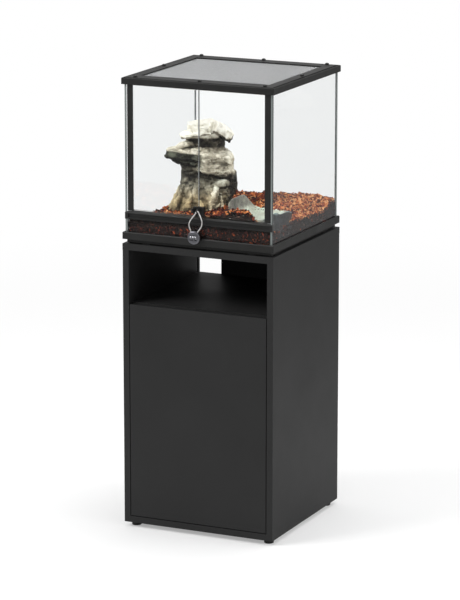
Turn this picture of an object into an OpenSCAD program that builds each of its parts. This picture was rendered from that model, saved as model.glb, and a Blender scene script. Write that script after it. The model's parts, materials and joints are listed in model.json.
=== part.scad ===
// Glass terrarium standing on its own storage cabinet.
// Millimetres, +Z up, the front faces -Y.
// The origin is on the floor, under the middle of the cabinet.

/* [Cabinet] */
// Width of the cabinet top and of the tank frames
body_w = 400; // [380:1:600]
// Depth of the cabinet top and of the tank frames
body_d = 400; // [390:1:600]
// Height of the cabinet with its glides
cab_h = 713; // [600:1:900]
// Thickness of the cabinet boards
board_t = 16; // [15:0.5:19]
// How far the side boards stand in from the edge of the top board
side_inset = 0.5; // [0:0.5:3]
// Clear height of the open niche under the top board
niche_h = 131.5; // [100:0.5:200]
// Gap between the door and the boards around it
door_gap = 2; // [1.5:0.5:4]
// Height of the niche floor's edge that shows above the door
door_reveal = 2.5; // [1:0.5:6]
// Thickness of the back board
back_t = 8; // [6:0.5:10]
// How far the back board stands in from the rear edge
back_inset = 8; // [6:0.5:20]
// Depth of the grooves that hold the back board
groove_depth = 6; // [3:0.5:8]
// Clearance of the back board in its grooves
groove_fit = 0.2; // [0.1:0.1:0.5]
// Width of the cable cut-out in the back board
cable_w = 67; // [30:1:150]
// Height of the cable cut-out above the niche floor
cable_h = 94; // [30:1:96]
// Height of the inner shelf above the cabinet floor board
shelf_rise = 262; // [150:1:380]
// How far the inner shelf stands back from the door
shelf_setback = 24; // [10:1:60]
// Side clearance of the inner shelf
shelf_fit = 0.8; // [0.4:0.1:2]
// Diameter of a shelf pin
shelf_pin_dia = 5; // [4:0.5:6]
// Length of a shelf pin
shelf_pin_len = 17; // [12:1:22]
// Depth of the hole for a shelf pin
shelf_pin_depth = 9; // [6:0.5:11]
// Diameter of a dowel
dowel_dia = 8; // [6:0.5:10]
// Length of a dowel
dowel_len = 30; // [24:1:40]
// Part of a dowel that enters a board's face
dowel_bite = 11; // [8:0.5:12]

/* [Glides] */
// Height of a glide
foot_h = 12; // [8:0.5:25]
// Diameter of a glide
foot_dia = 24; // [18:1:36]
// Distance of a glide's middle from the side
foot_side = 21; // [19:1:40]
// Distance of a glide's middle from the front and from the back
foot_end = 26; // [20:1:60]

/* [Cabinet door fittings] */
// Diameter of a hinge cup
cup_dia = 35; // [26:1:35]
// Depth of a hinge cup
cup_depth = 12; // [10:0.5:12.5]
// Wall of a hinge cup
cup_wall = 2; // [1:0.5:3]
// Distance of a cup's middle from the door's edge
cup_edge = 22.5; // [20:0.5:26]
// Distance of a cup's middle from the door's top or bottom end
cup_end = 80; // [60:1:120]
// Thickness of the cup flange
flange_t = 1.2; // [0.8:0.2:2]
// Distance from a cup's middle to its screws
flange_screw = 22.5; // [21:0.5:26]
// Thickness of the hinge plate on the side board
plate_t = 2.5; // [2:0.5:4]
// Length of the hinge plate
plate_len = 44; // [30:1:60]
// Height of the hinge plate
plate_h = 44; // [36:1:56]
// Width of the hinge arm
arm_w = 12; // [10:0.5:16]
// Length of the hinge arm
arm_len = 62; // [50:1:80]
// Height of the hinge arm above its plate
arm_rise = 9; // [7:0.5:11]
// Space between the door and the hinge arm's nose
arm_clear = 4; // [3:0.5:8]
// Diameter of the hinge screws
screw_dia = 3.5; // [3:0.1:4]
// Diameter of a hinge screw's head
screw_head_dia = 7; // [6:0.5:8]
// Height of a hinge screw's head
screw_head_h = 1.8; // [1.2:0.2:2.4]
// Length of a hinge screw in the board
screw_len = 11; // [8:1:12]
// Distance of the latch's middle from the right side board
latch_side = 18.5; // [10:0.5:60]
// Width and height of the latch housing
latch_w = 14; // [12:0.5:20]
// Length of the latch housing
latch_len = 68; // [60:1:90]
// Diameter of the latch plunger
plunger_dia = 8; // [7:0.5:9]
// Travel of the latch plunger
plunger_travel = 3; // [2:0.5:5]
// Thickness of the strike plate on the door
strike_t = 1; // [0.8:0.1:1.4]
// Diameter of the strike plate
strike_dia = 14; // [10:1:20]

/* [Tank frames] */
// Height of the tank with its pads
tank_h = 404.5; // [390:0.5:700]
// Thickness of the rubber pads under the tank
pad_t = 2; // [1:0.5:4]
// Height of the plinth under the tank's base band
plinth_h = 8.7; // [5:0.1:12]
// How far the plinth stands in from the base band
plinth_inset = 8.5; // [4:0.5:12]
// Height of the tank's base band
base_band_h = 18; // [14:0.5:40]
// Width of the bars that carry the glass floor
base_bar_w = 25; // [20:1:60]
// Height of the glass seat above the plinth's underside
seat_rise = 14; // [10:0.5:18]
// Chamfer along the frames' top edges
edge_chamfer = 1.5; // [0.5:0.25:2.5]
// Height of the top frame
top_frame_h = 16; // [13:0.5:40]
// Width of the top frame's bars
top_bar_w = 24; // [22:0.5:40]
// How far the glass reaches into the top frame
glass_bite = 6.5; // [4:0.5:8]
// Depth of the lid's recess in the top frame
lid_recess = 5; // [3:0.5:6]
// Width of the rim around the lid
rim_w = 3; // [2:0.5:5]

/* [Glass] */
// Thickness of the tank glass
glass_t = 5; // [4:0.5:6]
// How far the glass stands in from the frames' outer face
glass_inset = 5.5; // [4:0.5:8]
// How far the side panes' front edges stand back from the front
glass_front = 6.5; // [5:0.5:9]
// Clearance of the glass in its frames
glass_fit = 0.3; // [0.2:0.1:0.6]
// Clearance between two panes
pane_fit = 0.2; // [0.1:0.1:0.5]
// Leg of the silicone seams
seam_leg = 2.5; // [2:0.5:6]
// Height of the front strip above the base band
strip_h = 31.8; // [20:0.1:80]

/* [Door sill] */
// Height of the sill
sill_h = 18.5; // [16:0.5:30]
// Depth of the sill, front to back
sill_d = 18; // [16:0.5:24]
// How far the sill stands back from the front
sill_setback = 4; // [3:0.5:4]
// Chamfer along the sill's upper front edge
sill_chamfer = 3.5; // [1:0.5:4]
// Height of the channel in the sill's front
channel_h = 8.5; // [4:0.5:9]
// Height of the channel above the sill's underside
channel_rise = 4.5; // [3:0.5:6]
// Depth of the channel
channel_d = 3; // [1:0.5:4]
// How far the channel ends before the side panes
channel_end = 3.5; // [2:0.5:20]
// How far the front strip reaches into the sill
strip_bite = 1.5; // [1:0.5:3]

/* [Glass doors] */
// Thickness of a door pane
pane_t = 4; // [3:0.5:5]
// Gap between the two door panes
centre_gap = 1.6; // [1:0.2:6]
// Gap between the doors and the sill
door_rise = 2; // [1.5:0.5:4]
// Gap between the doors and the top frame
door_top_gap = 1; // [0.8:0.2:3]
// How far a pane ends before its profile's ends
pane_short = 1.5; // [1:0.5:4]
// Distance of a pivot from the side pane's inner face
pivot_side = 6.3; // [6.2:0.1:8]
// Distance of the pivots from the frames' front
pivot_front = 10.9; // [10.5:0.1:12]
// Distance from a pivot to the profile's outer side
profile_side = 5.8; // [5.4:0.1:5.9]
// Distance from a pivot to the profile's front face
profile_front = 4; // [3.5:0.1:4.1]
// Radius of the profile's outer front corner
profile_corner = 3; // [2.9:0.1:4]
// Depth of a profile
profile_depth = 10; // [9:0.1:12]
// Distance from a pivot to the profile's inner edge
profile_reach = 9.9; // [9:0.1:16]
// How far the profile's rear lip ends before its front one
lip_short = 4.7; // [2:0.1:5]
// How far a pane reaches into its profile
profile_bite = 7; // [6:0.5:7]
// Distance of a pane's front face behind the profile's front face
pane_behind = 3.1; // [2.5:0.1:4]
// Diameter of a pivot pin
pin_dia = 3; // [2.5:0.1:3.4]
// Radial clearance of a pivot pin
pin_fit = 0.05; // [0.02:0.01:0.09]
// Length of a pivot pin in its profile
pin_in_door = 12; // [8:1:30]
// Length of a pivot pin in the sill or in the top frame
pin_in_frame = 5; // [4:0.5:6]

/* [Lid] */
// Gap around the lid in its recess
lid_gap = 4; // [0.5:0.5:5]
// Thickness of the lid frame
lid_t = 5.9; // [5:0.1:9]
// Width of the lid's side bars
lid_side_bar = 24; // [20:1:40]
// Width of the lid's front and rear bars
lid_end_bar = 37; // [26:1:50]
// Thickness of the mesh panel
mesh_t = 1; // [0.6:0.1:1.5]
// Height of the mesh panel above the lid's underside
mesh_rise = 1.9; // [1.5:0.1:3]
// How far the mesh panel reaches into the lid's bars
mesh_bite = 4; // [2:0.5:8]
// Openings across the mesh panel, in place of its fine weave
mesh_gaps = 12; // [4:1:12]
// Share of the mesh panel's width that its bars take
mesh_bar_share = 0.2; // [0.1:0.05:0.5]
// Diameter of a stud's head
stud_dia = 10; // [8:0.5:14]
// Height of a stud's head
stud_h = 4.9; // [3:0.1:8]
// Diameter of a stud's shank
shank_dia = 4; // [3:0.5:5]
// Radial clearance of a shank
shank_fit = 0.35; // [0.3:0.05:0.6]
// Depth of a shank in the top frame
shank_bite = 6; // [4:0.5:8]
// Distance of the corner studs from the side
stud_side = 30; // [28:1:60]
// Distance of a stud from the nearest edge
stud_edge = 16; // [14.5:0.5:18]

/* [Lock] */
// Height of a lock eye's middle above the sill
eye_rise = 18; // [14:0.5:40]
// Distance of the lock eyes in front of the frames' front
eye_reach = 6.5; // [6:0.5:12]
// Diameter of a lock eye's hole
eye_dia = 5.6; // [4.4:0.1:6]
// Radius of a lock eye's round end
eye_r = 5; // [4.5:0.1:6]
// Thickness of a lock eye
eye_t = 2.4; // [2:0.1:3.5]
// Distance of the right lock eye's middle from the tank's middle
eye_right = 3.8; // [3.2:0.1:4.5]
// Distance of the left lock eye's middle from the tank's middle
eye_left = 10.5; // [10:0.5:12]
// Width of a lock clip on its pane
clip_w = 13; // [12:1:20]
// Wall of a lock clip
clip_t = 1.5; // [1:0.1:1.5]
// Diameter of the padlock's cable
cable_dia = 2.8; // [2:0.1:3]
// Radius of the padlock's round body
lock_r = 16.3; // [15.5:0.1:17]
// Thickness of the padlock's body
lock_t = 10; // [9:0.5:10.5]
// Rounding of the padlock's edges
lock_edge_r = 3; // [1:0.5:4]
// Distance of the padlock's middle below its eye
lock_drop = 65; // [65:0.5:65]
// Radius of a number dial
dial_r = 5.9; // [5.6:0.1:5.9]
// Width of a number dial
dial_w = 5.2; // [4:0.2:5.4]
// Distance between two number dials
dial_pitch = 6.5; // [6.3:0.1:7]
// Diameter of the dials' axle
axle_dia = 3; // [2.5:0.1:3.5]
// Radial clearance between a dial and its axle
axle_fit = 0.05; // [0.02:0.01:0.09]

/* [Substrate and decor] */
// Height of the substrate above the glass floor, at the middle
soil_h = 56; // [46:1:64]
// Rise of the substrate from the middle to the front
soil_rise = 9; // [1:0.5:10]
// Fall of the substrate towards the left pane
soil_fall = 30; // [0:1:34]
// Fall of the substrate towards the right pane
soil_dip = 12; // [0:1:16]
// Distance of the substrate from the panes
soil_fit = 0.3; // [0.2:0.1:1]
// Height of the rock
rock_h = 243; // [200:1:300]
// Distance of the rock's middle from the left pane
rock_side = 129.5; // [125:0.5:135]
// Distance of the rock's middle in front of the tank's middle
rock_front = 55; // [30:1:60]
// Depth of the rock's foot in the substrate, below its middle height
rock_sink = 30; // [26:1:34]
// Width of the water dish
dish_w = 126.6; // [100:0.2:127]
// Length of the water dish, front to back
dish_d = 122; // [90:1:126]
// Height of the dish's low rim above the substrate's middle height
dish_rim = 7; // [4:1:24]
// Height of the dish's raised wall above its low rim
dish_wall = 37; // [0:1:44]
// Height of the dish's rim at the right pane above its low rim
dish_lean = 16; // [0:1:20]
// Depth of the dish's basin
basin_depth = 21; // [15:1:34]
// Depth of the dish's foot in the substrate, below its middle height
dish_sink = 42; // [36:1:46]
// Distance between the dish and the sill
dish_gap = 4; // [2:0.5:10]

/* [Hidden] */

$fn = 48;
reach = 1; // cuts run this far past a face

// cabinet
half_w = body_w / 2;
half_d = body_d / 2;
board_out = half_w - side_inset;
board_in = board_out - board_t;
floor_top = foot_h + board_t;
top_under = cab_h - board_t;
niche_z = top_under - niche_h;
niche_under = niche_z - board_t;
back_y = half_d - back_inset - back_t;
back_foot = 2; // lift of the back board above the side boards' ends
cd_x = board_in - door_gap; // the cabinet door's half width
cd_back = -half_d + board_t;
cd_z = [floor_top + door_gap, niche_z - door_reveal];
inner_front = cd_back + door_gap;
shelf_z = floor_top + shelf_rise;
shelf_front = cd_back + shelf_setback;
shelf_back = back_y - 0.5;
shelf_pin_inset = 40; // distance of the pins from the shelf's ends
dowel_fit = 0.1;
dowel_gap = 0.5; // spare depth of a dowel's hole
dowel_inset = 50; // distance of the outer dowels from the boards' ends

// cabinet door fittings
cup_x = -cd_x + cup_edge;
cup_z = [cd_z[0] + cup_end, cd_z[1] - cup_end];
bore_fit = 0.1;
arm_x = -board_in + plate_t;
arm_top = arm_x + arm_rise;
arm_nose = cd_back + arm_clear;
plate_start = arm_nose + arm_len - plate_len;
plate_screw = plate_h / 2 - 6; // distance of a plate's screws from its middle
link_gap = 0.5; // between the arm's nose and the link
link_w = 11;
link_back = 14; // how far the link stands out behind the door
latch_x = board_in - latch_side;
latch_z = niche_under - latch_w / 2;
latch_front = inner_front + 4;
plunger_fit = 0.1;
plunger_tip = cd_back + strike_t + 0.3;
plunger_len = 32;
plunger_end = plunger_tip + plunger_len;
latch_end_wall = 10;
latch_bore_end = latch_front + latch_len - latch_end_wall;
spring_wire = 0.8;
spring_dia = 5;
spring_turns = 10;
spring_fit = 0.3;
spring_pocket = 18; // depth of the spring's hole in the plunger
spring_start = plunger_end - spring_pocket + plunger_travel + 0.2;

// tank
base_z = cab_h + pad_t;
band_z = base_z + plinth_h;
band_top = band_z + base_band_h;
seat_z = base_z + seat_rise;
glass_out = half_w - glass_inset;
glass_in = glass_out - glass_t;
glass_rear = half_d - glass_inset;
rear_in = glass_rear - glass_t;
pane_front = -half_d + glass_front;
strip_in = pane_front + glass_t;
floor_glass_top = seat_z + glass_t;
top_z = cab_h + tank_h;
frame_z = top_z - top_frame_h;
glass_top = frame_z + glass_bite;
ledge_z = top_z - lid_recess;
pad_long = 30;
pad_deep = 12;
pad_from_side = 60;
pad_from_front = 40;
pad_from_rear = 74;
pad_x = half_w - pad_from_side; // middles of the pads at the front and at the back
pad_y = [-half_d + pad_from_front, half_d - pad_from_rear]; // middles of the pads at the sides
pad_front_long = 20;

// sill and glass doors
sill_z = band_top + strip_h;
sill_top = sill_z + sill_h;
sill_y = -half_d + sill_setback;
sill_back = sill_y + sill_d;
pivot_x = glass_in - pivot_side;
pivot_y = -half_d + pivot_front;
door_z = [sill_top + door_rise, frame_z - door_top_gap];
profile_in = pivot_x - profile_reach;
profile_y = [pivot_y - profile_front, pivot_y - profile_front + profile_depth];
pane_y = profile_y[0] + pane_behind;
pane_x = [centre_gap / 2, profile_in + profile_bite];
pane_z = [door_z[0] + pane_short, door_z[1] - pane_short];
pin_hole_spare = 0.3; // spare depth below a pivot pin
collar_r = 4;
collar_gap = 0.2;

// lid
lid_x = half_w - rim_w - lid_gap;
lid_y = half_d - rim_w - lid_gap;
lid_top = ledge_z + lid_t;
lid_open = [lid_x - lid_side_bar, lid_y - lid_end_bar];
mesh_z = ledge_z + mesh_rise;
mesh_rows = round(mesh_gaps * lid_open[1] / lid_open[0]);
mesh_pitch = [2 * lid_open[0] / mesh_gaps, 2 * lid_open[1] / mesh_rows];
mesh_bar = mesh_pitch[0] * mesh_bar_share;
stud_spots = [
    for (x = [-1, 1], y = [-1, 1]) [x * (half_w - stud_side), y * (half_d - stud_edge)],
    for (y = [-1, 1]) [0, y * (half_d - stud_edge)],
    for (x = [-1, 1]) [x * (half_w - stud_edge), 0]];

// lock
eye_y = -half_d - eye_reach;
eye_z = sill_top + eye_rise;
clip_x = 0.2; // distance of a clip from its pane's free edge
clip_top = 7; // height of a clip above its eye's middle
lock_x = eye_right - 8.5;
lock_z = eye_z - lock_drop;
lock_sides = 8;
dial_side_fit = 0.3;
dial_window = 6.3; // half height of a dial's window
socket_fit = 0.2;
socket_z = lock_z + 8;
// The cable's route, as [across, up] from its eye: it leaves the body, passes the eye and returns.
cable_route = [
    [-17, -57], [-17, -52.5], [-18.2, -47], [-20.7, -41], [-21.8, -35], [-20.6, -28.5],
    [-16.8, -21.5], [-12, -15], [-7.5, -9.5], [-4.4, -5.2], [-2.8, -2.2], [-1.4, -0.5],
    [0, 0], [1.4, -0.5], [2.8, -2.2], [4.6, -5.6], [7.4, -11], [10.2, -17.5],
    [12.2, -24.5], [12, -31.5], [9.6, -38.5], [5.4, -44.5], [1.6, -49.5], [0.2, -53.5],
    [0.2, -57]];

// substrate and decor
soil_z = floor_glass_top + soil_h;
soil_front = sill_back + 0.5;
soil_slope_start = 110; // the fall to the left starts this far from the middle
soil_dip_start = 140; // and the fall to the right here
rock_x = -glass_in + rock_side;
rock_foot_z = soil_z - rock_sink;
rock_sides = 24;
rock_mid_shift = -5.25; // middle of the rock's foot from the rock's middle
rock_foot_a = 85.5;
rock_foot_b = 66;
pocket_fit = 0.5;
rock_full_h = 243; // height at which the levels below are drawn
rock_smooth_h = 20; // height up to which the rock has no lobes
rock_fade_h = 40; // further height over which they grow
// Levels of the rock: height, left, right and half depth, from its middle.
rock_levels = [
    [0, -90, 80, 66], [18, -91, 80, 66], [38, -81, 77, 60], [58, -69, 81, 52],
    [74, -63, 90, 47], [98, -55, 95, 43], [119, -57, 91, 41], [128, -62, 88, 46],
    [134, -84, 87, 58], [148, -92, 87, 64], [155, -93, 87, 65], [162, -94, 85, 61],
    [172, -64, 76, 55], [184, -48, 62, 42], [192, -48, 55, 38], [198, -54, 72, 44],
    [204, -57, 86, 49], [212, -54, 84, 50], [226, -34, 72, 45], [238, -14, 60, 33],
    [243, -5, 45, 20]];
dish_x = glass_in - 0.5 - dish_w / 2;
dish_y = sill_back + dish_gap + dish_d / 2;
dish_foot_z = soil_z - dish_sink;
basin_z = soil_z + dish_rim - basin_depth;
dish_sides = 48;
dish_flat = dish_d * 0.75; // length of the pocket's open side
dish_power = 0.32; // 1 gives an ellipse, smaller values squarer corners
dish_wall_at = [177, 104, 60]; // angle of the raised wall's crest, and its reach each way
dish_lean_at = [330, 60, 60];
// Rings of the dish: share of the outline, and share of the way down from the rim to the basin.
dish_rings = [[1, 0.2], [0.985, 0.04], [0.95, 0], [0.91, 0.06], [0.82, 0.45], [0.6, 1]];

board_black = "#232427";
frame_black = "#1d1d1f";
fitting_grey = "#8d9094";
lock_grey = "#86868a";
clear_glass = [0.82, 0.92, 0.9, 0.35];

// A block between two values along each axis.
module block(x, y, z) {
    translate([x[0], y[0], z[0]]) cube([x[1] - x[0], y[1] - y[0], z[1] - z[0]]);
}

// A block that is centred on the Z axis.
module slab(w, d, z) {
    block([-w / 2, w / 2], [-d / 2, d / 2], z);
}

module on_both_sides() {
    children();
    mirror([1, 0, 0]) children();
}

// A cylinder from z0 to z1.
module post(d, z) {
    translate([0, 0, z[0]]) cylinder(d = d, h = z[1] - z[0]);
}

// A cylinder along X, between two values of x.
module bar_x(d, x, y, z) {
    translate([x[0], y, z]) rotate([0, 90, 0]) cylinder(d = d, h = x[1] - x[0]);
}

// A cylinder along Y, between two values of y.
module bar_y(d, x, y, z) {
    translate([x, y[0], z]) rotate([-90, 0, 0]) cylinder(d = d, h = y[1] - y[0]);
}

// An outline in Y and Z, carried along X between two values of x.
module along_x(x) {
    rotate([90, 0, 90]) translate([0, 0, x[0]]) linear_extrude(x[1] - x[0]) children();
}

// An outline in X and Z, carried along Y between two values of y.
module along_y(y) {
    rotate([90, 0, 0]) translate([0, 0, -y[1]]) linear_extrude(y[1] - y[0]) children();
}

// What a chamfer takes off the four top edges of a slab.
module top_edge_cut(w, d, z, c) {
    side = c * sqrt(2);
    for (s = [-1, 1]) {
        translate([0, s * d / 2, z]) rotate([45, 0, 0]) cube([w + 2 * c, side, side], center = true);
        translate([s * w / 2, 0, z]) rotate([0, 45, 0]) cube([side, d + 2 * c, side], center = true);
    }
}

// A solid through a list of sections that all have the same number of points.
module loft(sections) {
    n = len(sections[0]);
    last = len(sections) - 1;
    polyhedron(
        points = [for (s = sections) for (p = s) p],
        faces = [
            [for (i = [0:n - 1]) i],
            for (k = [0:last - 1], i = [0:n - 1]) [k * n + i, (k + 1) * n + i, k * n + (i + 1) % n],
            for (k = [0:last - 1], i = [0:n - 1])
                [(k + 1) * n + i, (k + 1) * n + (i + 1) % n, k * n + (i + 1) % n],
            [for (i = [n - 1:-1:0]) last * n + i]]);
}

// ---- cabinet ----

// Every dowel, or its hole when it is made wider by grow and longer by gap at each end.
module dowel_set(grow, gap) {
    d = dowel_dia + 2 * grow;
    mid = board_out - board_t / 2;
    on_both_sides() {
        for (y = [-half_d + dowel_inset, 0, back_y - dowel_inset])
            translate([mid, y, 0]) post(d, [top_under + dowel_bite - dowel_len - gap, top_under + dowel_bite + gap]);
        for (z = [foot_h + board_t / 2, niche_z - board_t / 2], y = [-half_d + dowel_inset, back_y - dowel_inset])
            bar_x(d, [board_in + dowel_bite - dowel_len - gap, board_in + dowel_bite + gap], y, z);
    }
}

module dowel_holes() {
    dowel_set(dowel_fit, dowel_gap);
}

// Every shelf pin, or its hole when it is made wider.
module shelf_pin_set(grow) {
    on_both_sides()
        for (y = [shelf_front + shelf_pin_inset, shelf_back - shelf_pin_inset])
            bar_x(shelf_pin_dia + 2 * grow,
                [board_in + shelf_pin_depth - shelf_pin_len, board_in + shelf_pin_depth],
                y, shelf_z - shelf_pin_dia / 2 - 0.1);
}

// The screws of both hinge plates, or their holes when they are made wider.
module plate_screw_set(grow) {
    for (z = cup_z, s = [-1, 1]) {
        y = plate_start + plate_len / 2;
        bar_x(screw_dia + 2 * grow, [arm_x - plate_t - screw_len, arm_x], y, z + s * plate_screw);
        bar_x(screw_head_dia, [arm_x, arm_x + screw_head_h], y, z + s * plate_screw);
    }
}

module cup_screw_set(grow) {
    for (z = cup_z, s = [-1, 1]) {
        bar_y(screw_dia + 2 * grow, cup_x, [cd_back - screw_len, cd_back + flange_t], z + s * flange_screw);
        bar_y(screw_head_dia, cup_x, [cd_back + flange_t, cd_back + flange_t + screw_head_h],
            z + s * flange_screw);
    }
}

module side_board() {
    difference() {
        block([board_in, board_out], [-half_d, half_d], [foot_h, top_under]);
        block([board_in - reach, board_in + groove_depth + groove_fit],
            [back_y - groove_fit, back_y + back_t + groove_fit], [foot_h - reach, top_under + reach]);
        dowel_holes();
        shelf_pin_set(dowel_fit);
    }
}

module side_board_left() {
    color(board_black) difference() {
        mirror([1, 0, 0]) side_board();
        plate_screw_set(dowel_fit);
    }
}

module side_board_right() {
    color(board_black) side_board();
}

module top_board() {
    color(board_black) difference() {
        slab(body_w, body_d, [top_under, cab_h]);
        dowel_holes();
    }
}

module floor_board() {
    color(board_black) difference() {
        block([-board_in, board_in], [-half_d, back_y], [foot_h, floor_top]);
        dowel_holes();
    }
}

module niche_board() {
    color(board_black) difference() {
        block([-board_in, board_in], [inner_front, back_y], [niche_under, niche_z]);
        dowel_holes();
    }
}

module back_board() {
    color(board_black) difference() {
        block([-board_in - groove_depth, board_in + groove_depth], [back_y, back_y + back_t],
            [foot_h + back_foot, top_under]);
        block([-board_in - groove_depth - reach, -board_in + cable_w],
            [back_y - reach, back_y + back_t + reach], [niche_z, niche_z + cable_h]);
    }
}

module inner_shelf() {
    color(board_black)
        slab(2 * (board_in - shelf_fit), shelf_back - shelf_front, [shelf_z, shelf_z + board_t]);
}

// The shelf is moved to its place between the door and the back board.
module placed_shelf() {
    translate([0, (shelf_front + shelf_back) / 2, 0]) inner_shelf();
}

module shelf_pins() {
    color(fitting_grey) shelf_pin_set(0);
}

module dowels() {
    color("#c9a777") dowel_set(0, 0);
}

module glide(sx, sy) {
    bevel = 1.2;
    color(frame_black) translate([sx * (half_w - foot_side), sy * (half_d - foot_end), 0]) rotate_extrude()
        polygon([[0, 0], [foot_dia / 2 - bevel, 0], [foot_dia / 2, bevel],
            [foot_dia / 2, foot_h], [0, foot_h]]);
}

module glide_front_left() { glide(-1, -1); }
module glide_front_right() { glide(1, -1); }
module glide_back_left() { glide(-1, 1); }
module glide_back_right() { glide(1, 1); }

// ---- cabinet door and its fittings ----

module cabinet_door() {
    color(board_black) difference() {
        block([-cd_x, cd_x], [-half_d, cd_back], cd_z);
        for (z = cup_z) bar_y(cup_dia + 2 * bore_fit, cup_x, [cd_back - cup_depth, cd_back + reach], z);
        cup_screw_set(dowel_fit);
    }
}

module hinge_cups() {
    wing_w = 16;
    wing_h = 2 * flange_screw + 11;
    color(fitting_grey) for (z = cup_z) difference() {
        union() {
            bar_y(cup_dia, cup_x, [cd_back - cup_depth, cd_back], z);
            bar_y(cup_dia + 3, cup_x, [cd_back, cd_back + flange_t], z);
            block([cup_x - wing_w / 2, cup_x + wing_w / 2], [cd_back, cd_back + flange_t],
                [z - wing_h / 2, z + wing_h / 2]);
        }
        bar_y(cup_dia - 2 * cup_wall, cup_x, [cd_back - cup_depth + cup_wall, cd_back + flange_t + reach], z);
        cup_screw_set(dowel_fit);
    }
}

// The link that rises from a cup towards the hinge arm.
module hinge_links() {
    foot_y = cd_back - cup_depth + cup_wall;
    inner = (cup_dia - 2 * cup_wall) / 2 - 6;
    nose_x = arm_top + link_gap;
    color(fitting_grey) for (z = cup_z) translate([0, 0, z - link_w / 2]) linear_extrude(link_w)
        polygon([[cup_x - inner, foot_y], [cup_x + inner - 3, foot_y], [cup_x + inner - 3, cd_back + 6],
            [cup_x, cd_back + link_back], [nose_x, cd_back + link_back], [nose_x, cd_back + 5],
            [cup_x - inner, cd_back + 3]]);
}

module hinge_cup_screws() {
    color(fitting_grey) cup_screw_set(0);
}

module hinge_arms() {
    color(fitting_grey) for (z = cup_z) difference() {
        union() {
            block([-board_in, arm_x], [plate_start, plate_start + plate_len], [z - plate_h / 2, z + plate_h / 2]);
            block([arm_x, arm_top], [arm_nose, arm_nose + arm_len], [z - arm_w / 2, z + arm_w / 2]);
        }
        plate_screw_set(dowel_fit);
    }
}

module hinge_plate_screws() {
    color(fitting_grey) plate_screw_set(0);
}

module strike_plate() {
    color(fitting_grey) bar_y(strike_dia, latch_x, [cd_back, cd_back + strike_t], latch_z);
}

module latch_housing() {
    color(frame_black) difference() {
        block([latch_x - latch_w / 2, latch_x + latch_w / 2], [latch_front, latch_front + latch_len],
            [niche_under - latch_w, niche_under]);
        bar_y(plunger_dia + 2 * plunger_fit, latch_x, [latch_front - reach, latch_bore_end], latch_z);
    }
}

module latch_plunger() {
    color("#d8d8d6") difference() {
        bar_y(plunger_dia, latch_x, [plunger_tip, plunger_end], latch_z);
        bar_y(spring_dia + 2 * spring_fit, latch_x, [plunger_end - spring_pocket, plunger_end + reach], latch_z);
    }
}

// The spring is a wound wire: a ring of six points follows a helix about Y.
module latch_spring() {
    coil_r = (spring_dia - spring_wire) / 2;
    steps = 8 * spring_turns;
    rise = latch_bore_end - spring_start - spring_wire;
    echo(spring_gap = rise / spring_turns - spring_wire);
    color("silver") loft([
        for (k = [0:steps]) [
            for (i = [5:-1:0])
                let (turn = k * 45, r = coil_r + spring_wire / 2 * cos(i * 60))
                [latch_x + r * cos(turn),
                    spring_start + spring_wire / 2 * (1 + sin(i * 60)) + rise * k / steps,
                    latch_z + r * sin(turn)]]]);
}

// ---- tank ----

module tank_pads() {
    edge_x = half_w - plinth_inset;
    edge_y = half_d - plinth_inset;
    color("#161616") {
        for (x = [-pad_x, pad_x], s = [-1, 1]) translate([x, s * (edge_y - pad_deep / 2), 0])
            slab(pad_front_long, pad_deep, [cab_h, base_z]);
        for (y = pad_y, s = [-1, 1]) translate([s * (edge_x - pad_deep / 2), y, 0])
            slab(pad_deep, pad_long, [cab_h, base_z]);
    }
}

module base_frame() {
    color(frame_black) difference() {
        union() {
            slab(body_w - 2 * plinth_inset, body_d - 2 * plinth_inset, [base_z, band_z]);
            slab(body_w, body_d, [band_z, band_top]);
        }
        slab(2 * (glass_out + glass_fit), 2 * (glass_rear + glass_fit), [seat_z, band_top + reach]);
        slab(body_w - 2 * base_bar_w, body_d - 2 * base_bar_w, [base_z - reach, seat_z + reach]);
        top_edge_cut(body_w, body_d, band_top, edge_chamfer);
    }
}

module glass_floor() {
    color(clear_glass) block([-glass_in + pane_fit, glass_in - pane_fit], [strip_in + pane_fit, rear_in - pane_fit],
        [seat_z, floor_glass_top]);
}

module side_pane() {
    block([glass_in, glass_out], [pane_front, rear_in - pane_fit], [seat_z, glass_top]);
}

module glass_left() {
    color(clear_glass) mirror([1, 0, 0]) side_pane();
}

module glass_right() {
    color(clear_glass) side_pane();
}

module glass_back() {
    color(clear_glass) block([-glass_out, glass_out], [rear_in, glass_rear], [seat_z, glass_top]);
}

module glass_strip() {
    color(clear_glass) block([-glass_in + pane_fit, glass_in - pane_fit], [pane_front, strip_in],
        [seat_z, sill_z + strip_bite]);
}

// The seams along the glass edges, or the space for them when the leg is longer.
module seam_set(leg) {
    corner = [[0, 0], [-leg, 0], [0, -leg]];
    on_both_sides() {
        translate([glass_in, rear_in, floor_glass_top])
            linear_extrude(frame_z - floor_glass_top) polygon(corner);
        translate([glass_in, strip_in, floor_glass_top])
            linear_extrude(sill_z - floor_glass_top) mirror([0, 1]) polygon(corner);
        along_y([strip_in, rear_in]) translate([glass_in, floor_glass_top]) mirror([0, 1]) polygon(corner);
    }
    along_x([-glass_in, glass_in]) {
        translate([rear_in, floor_glass_top]) mirror([0, 1]) polygon(corner);
        translate([strip_in, floor_glass_top]) polygon([[0, 0], [leg, 0], [0, leg]]);
    }
}

module silicone_seams() {
    color("#141414") seam_set(seam_leg);
}

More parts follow.
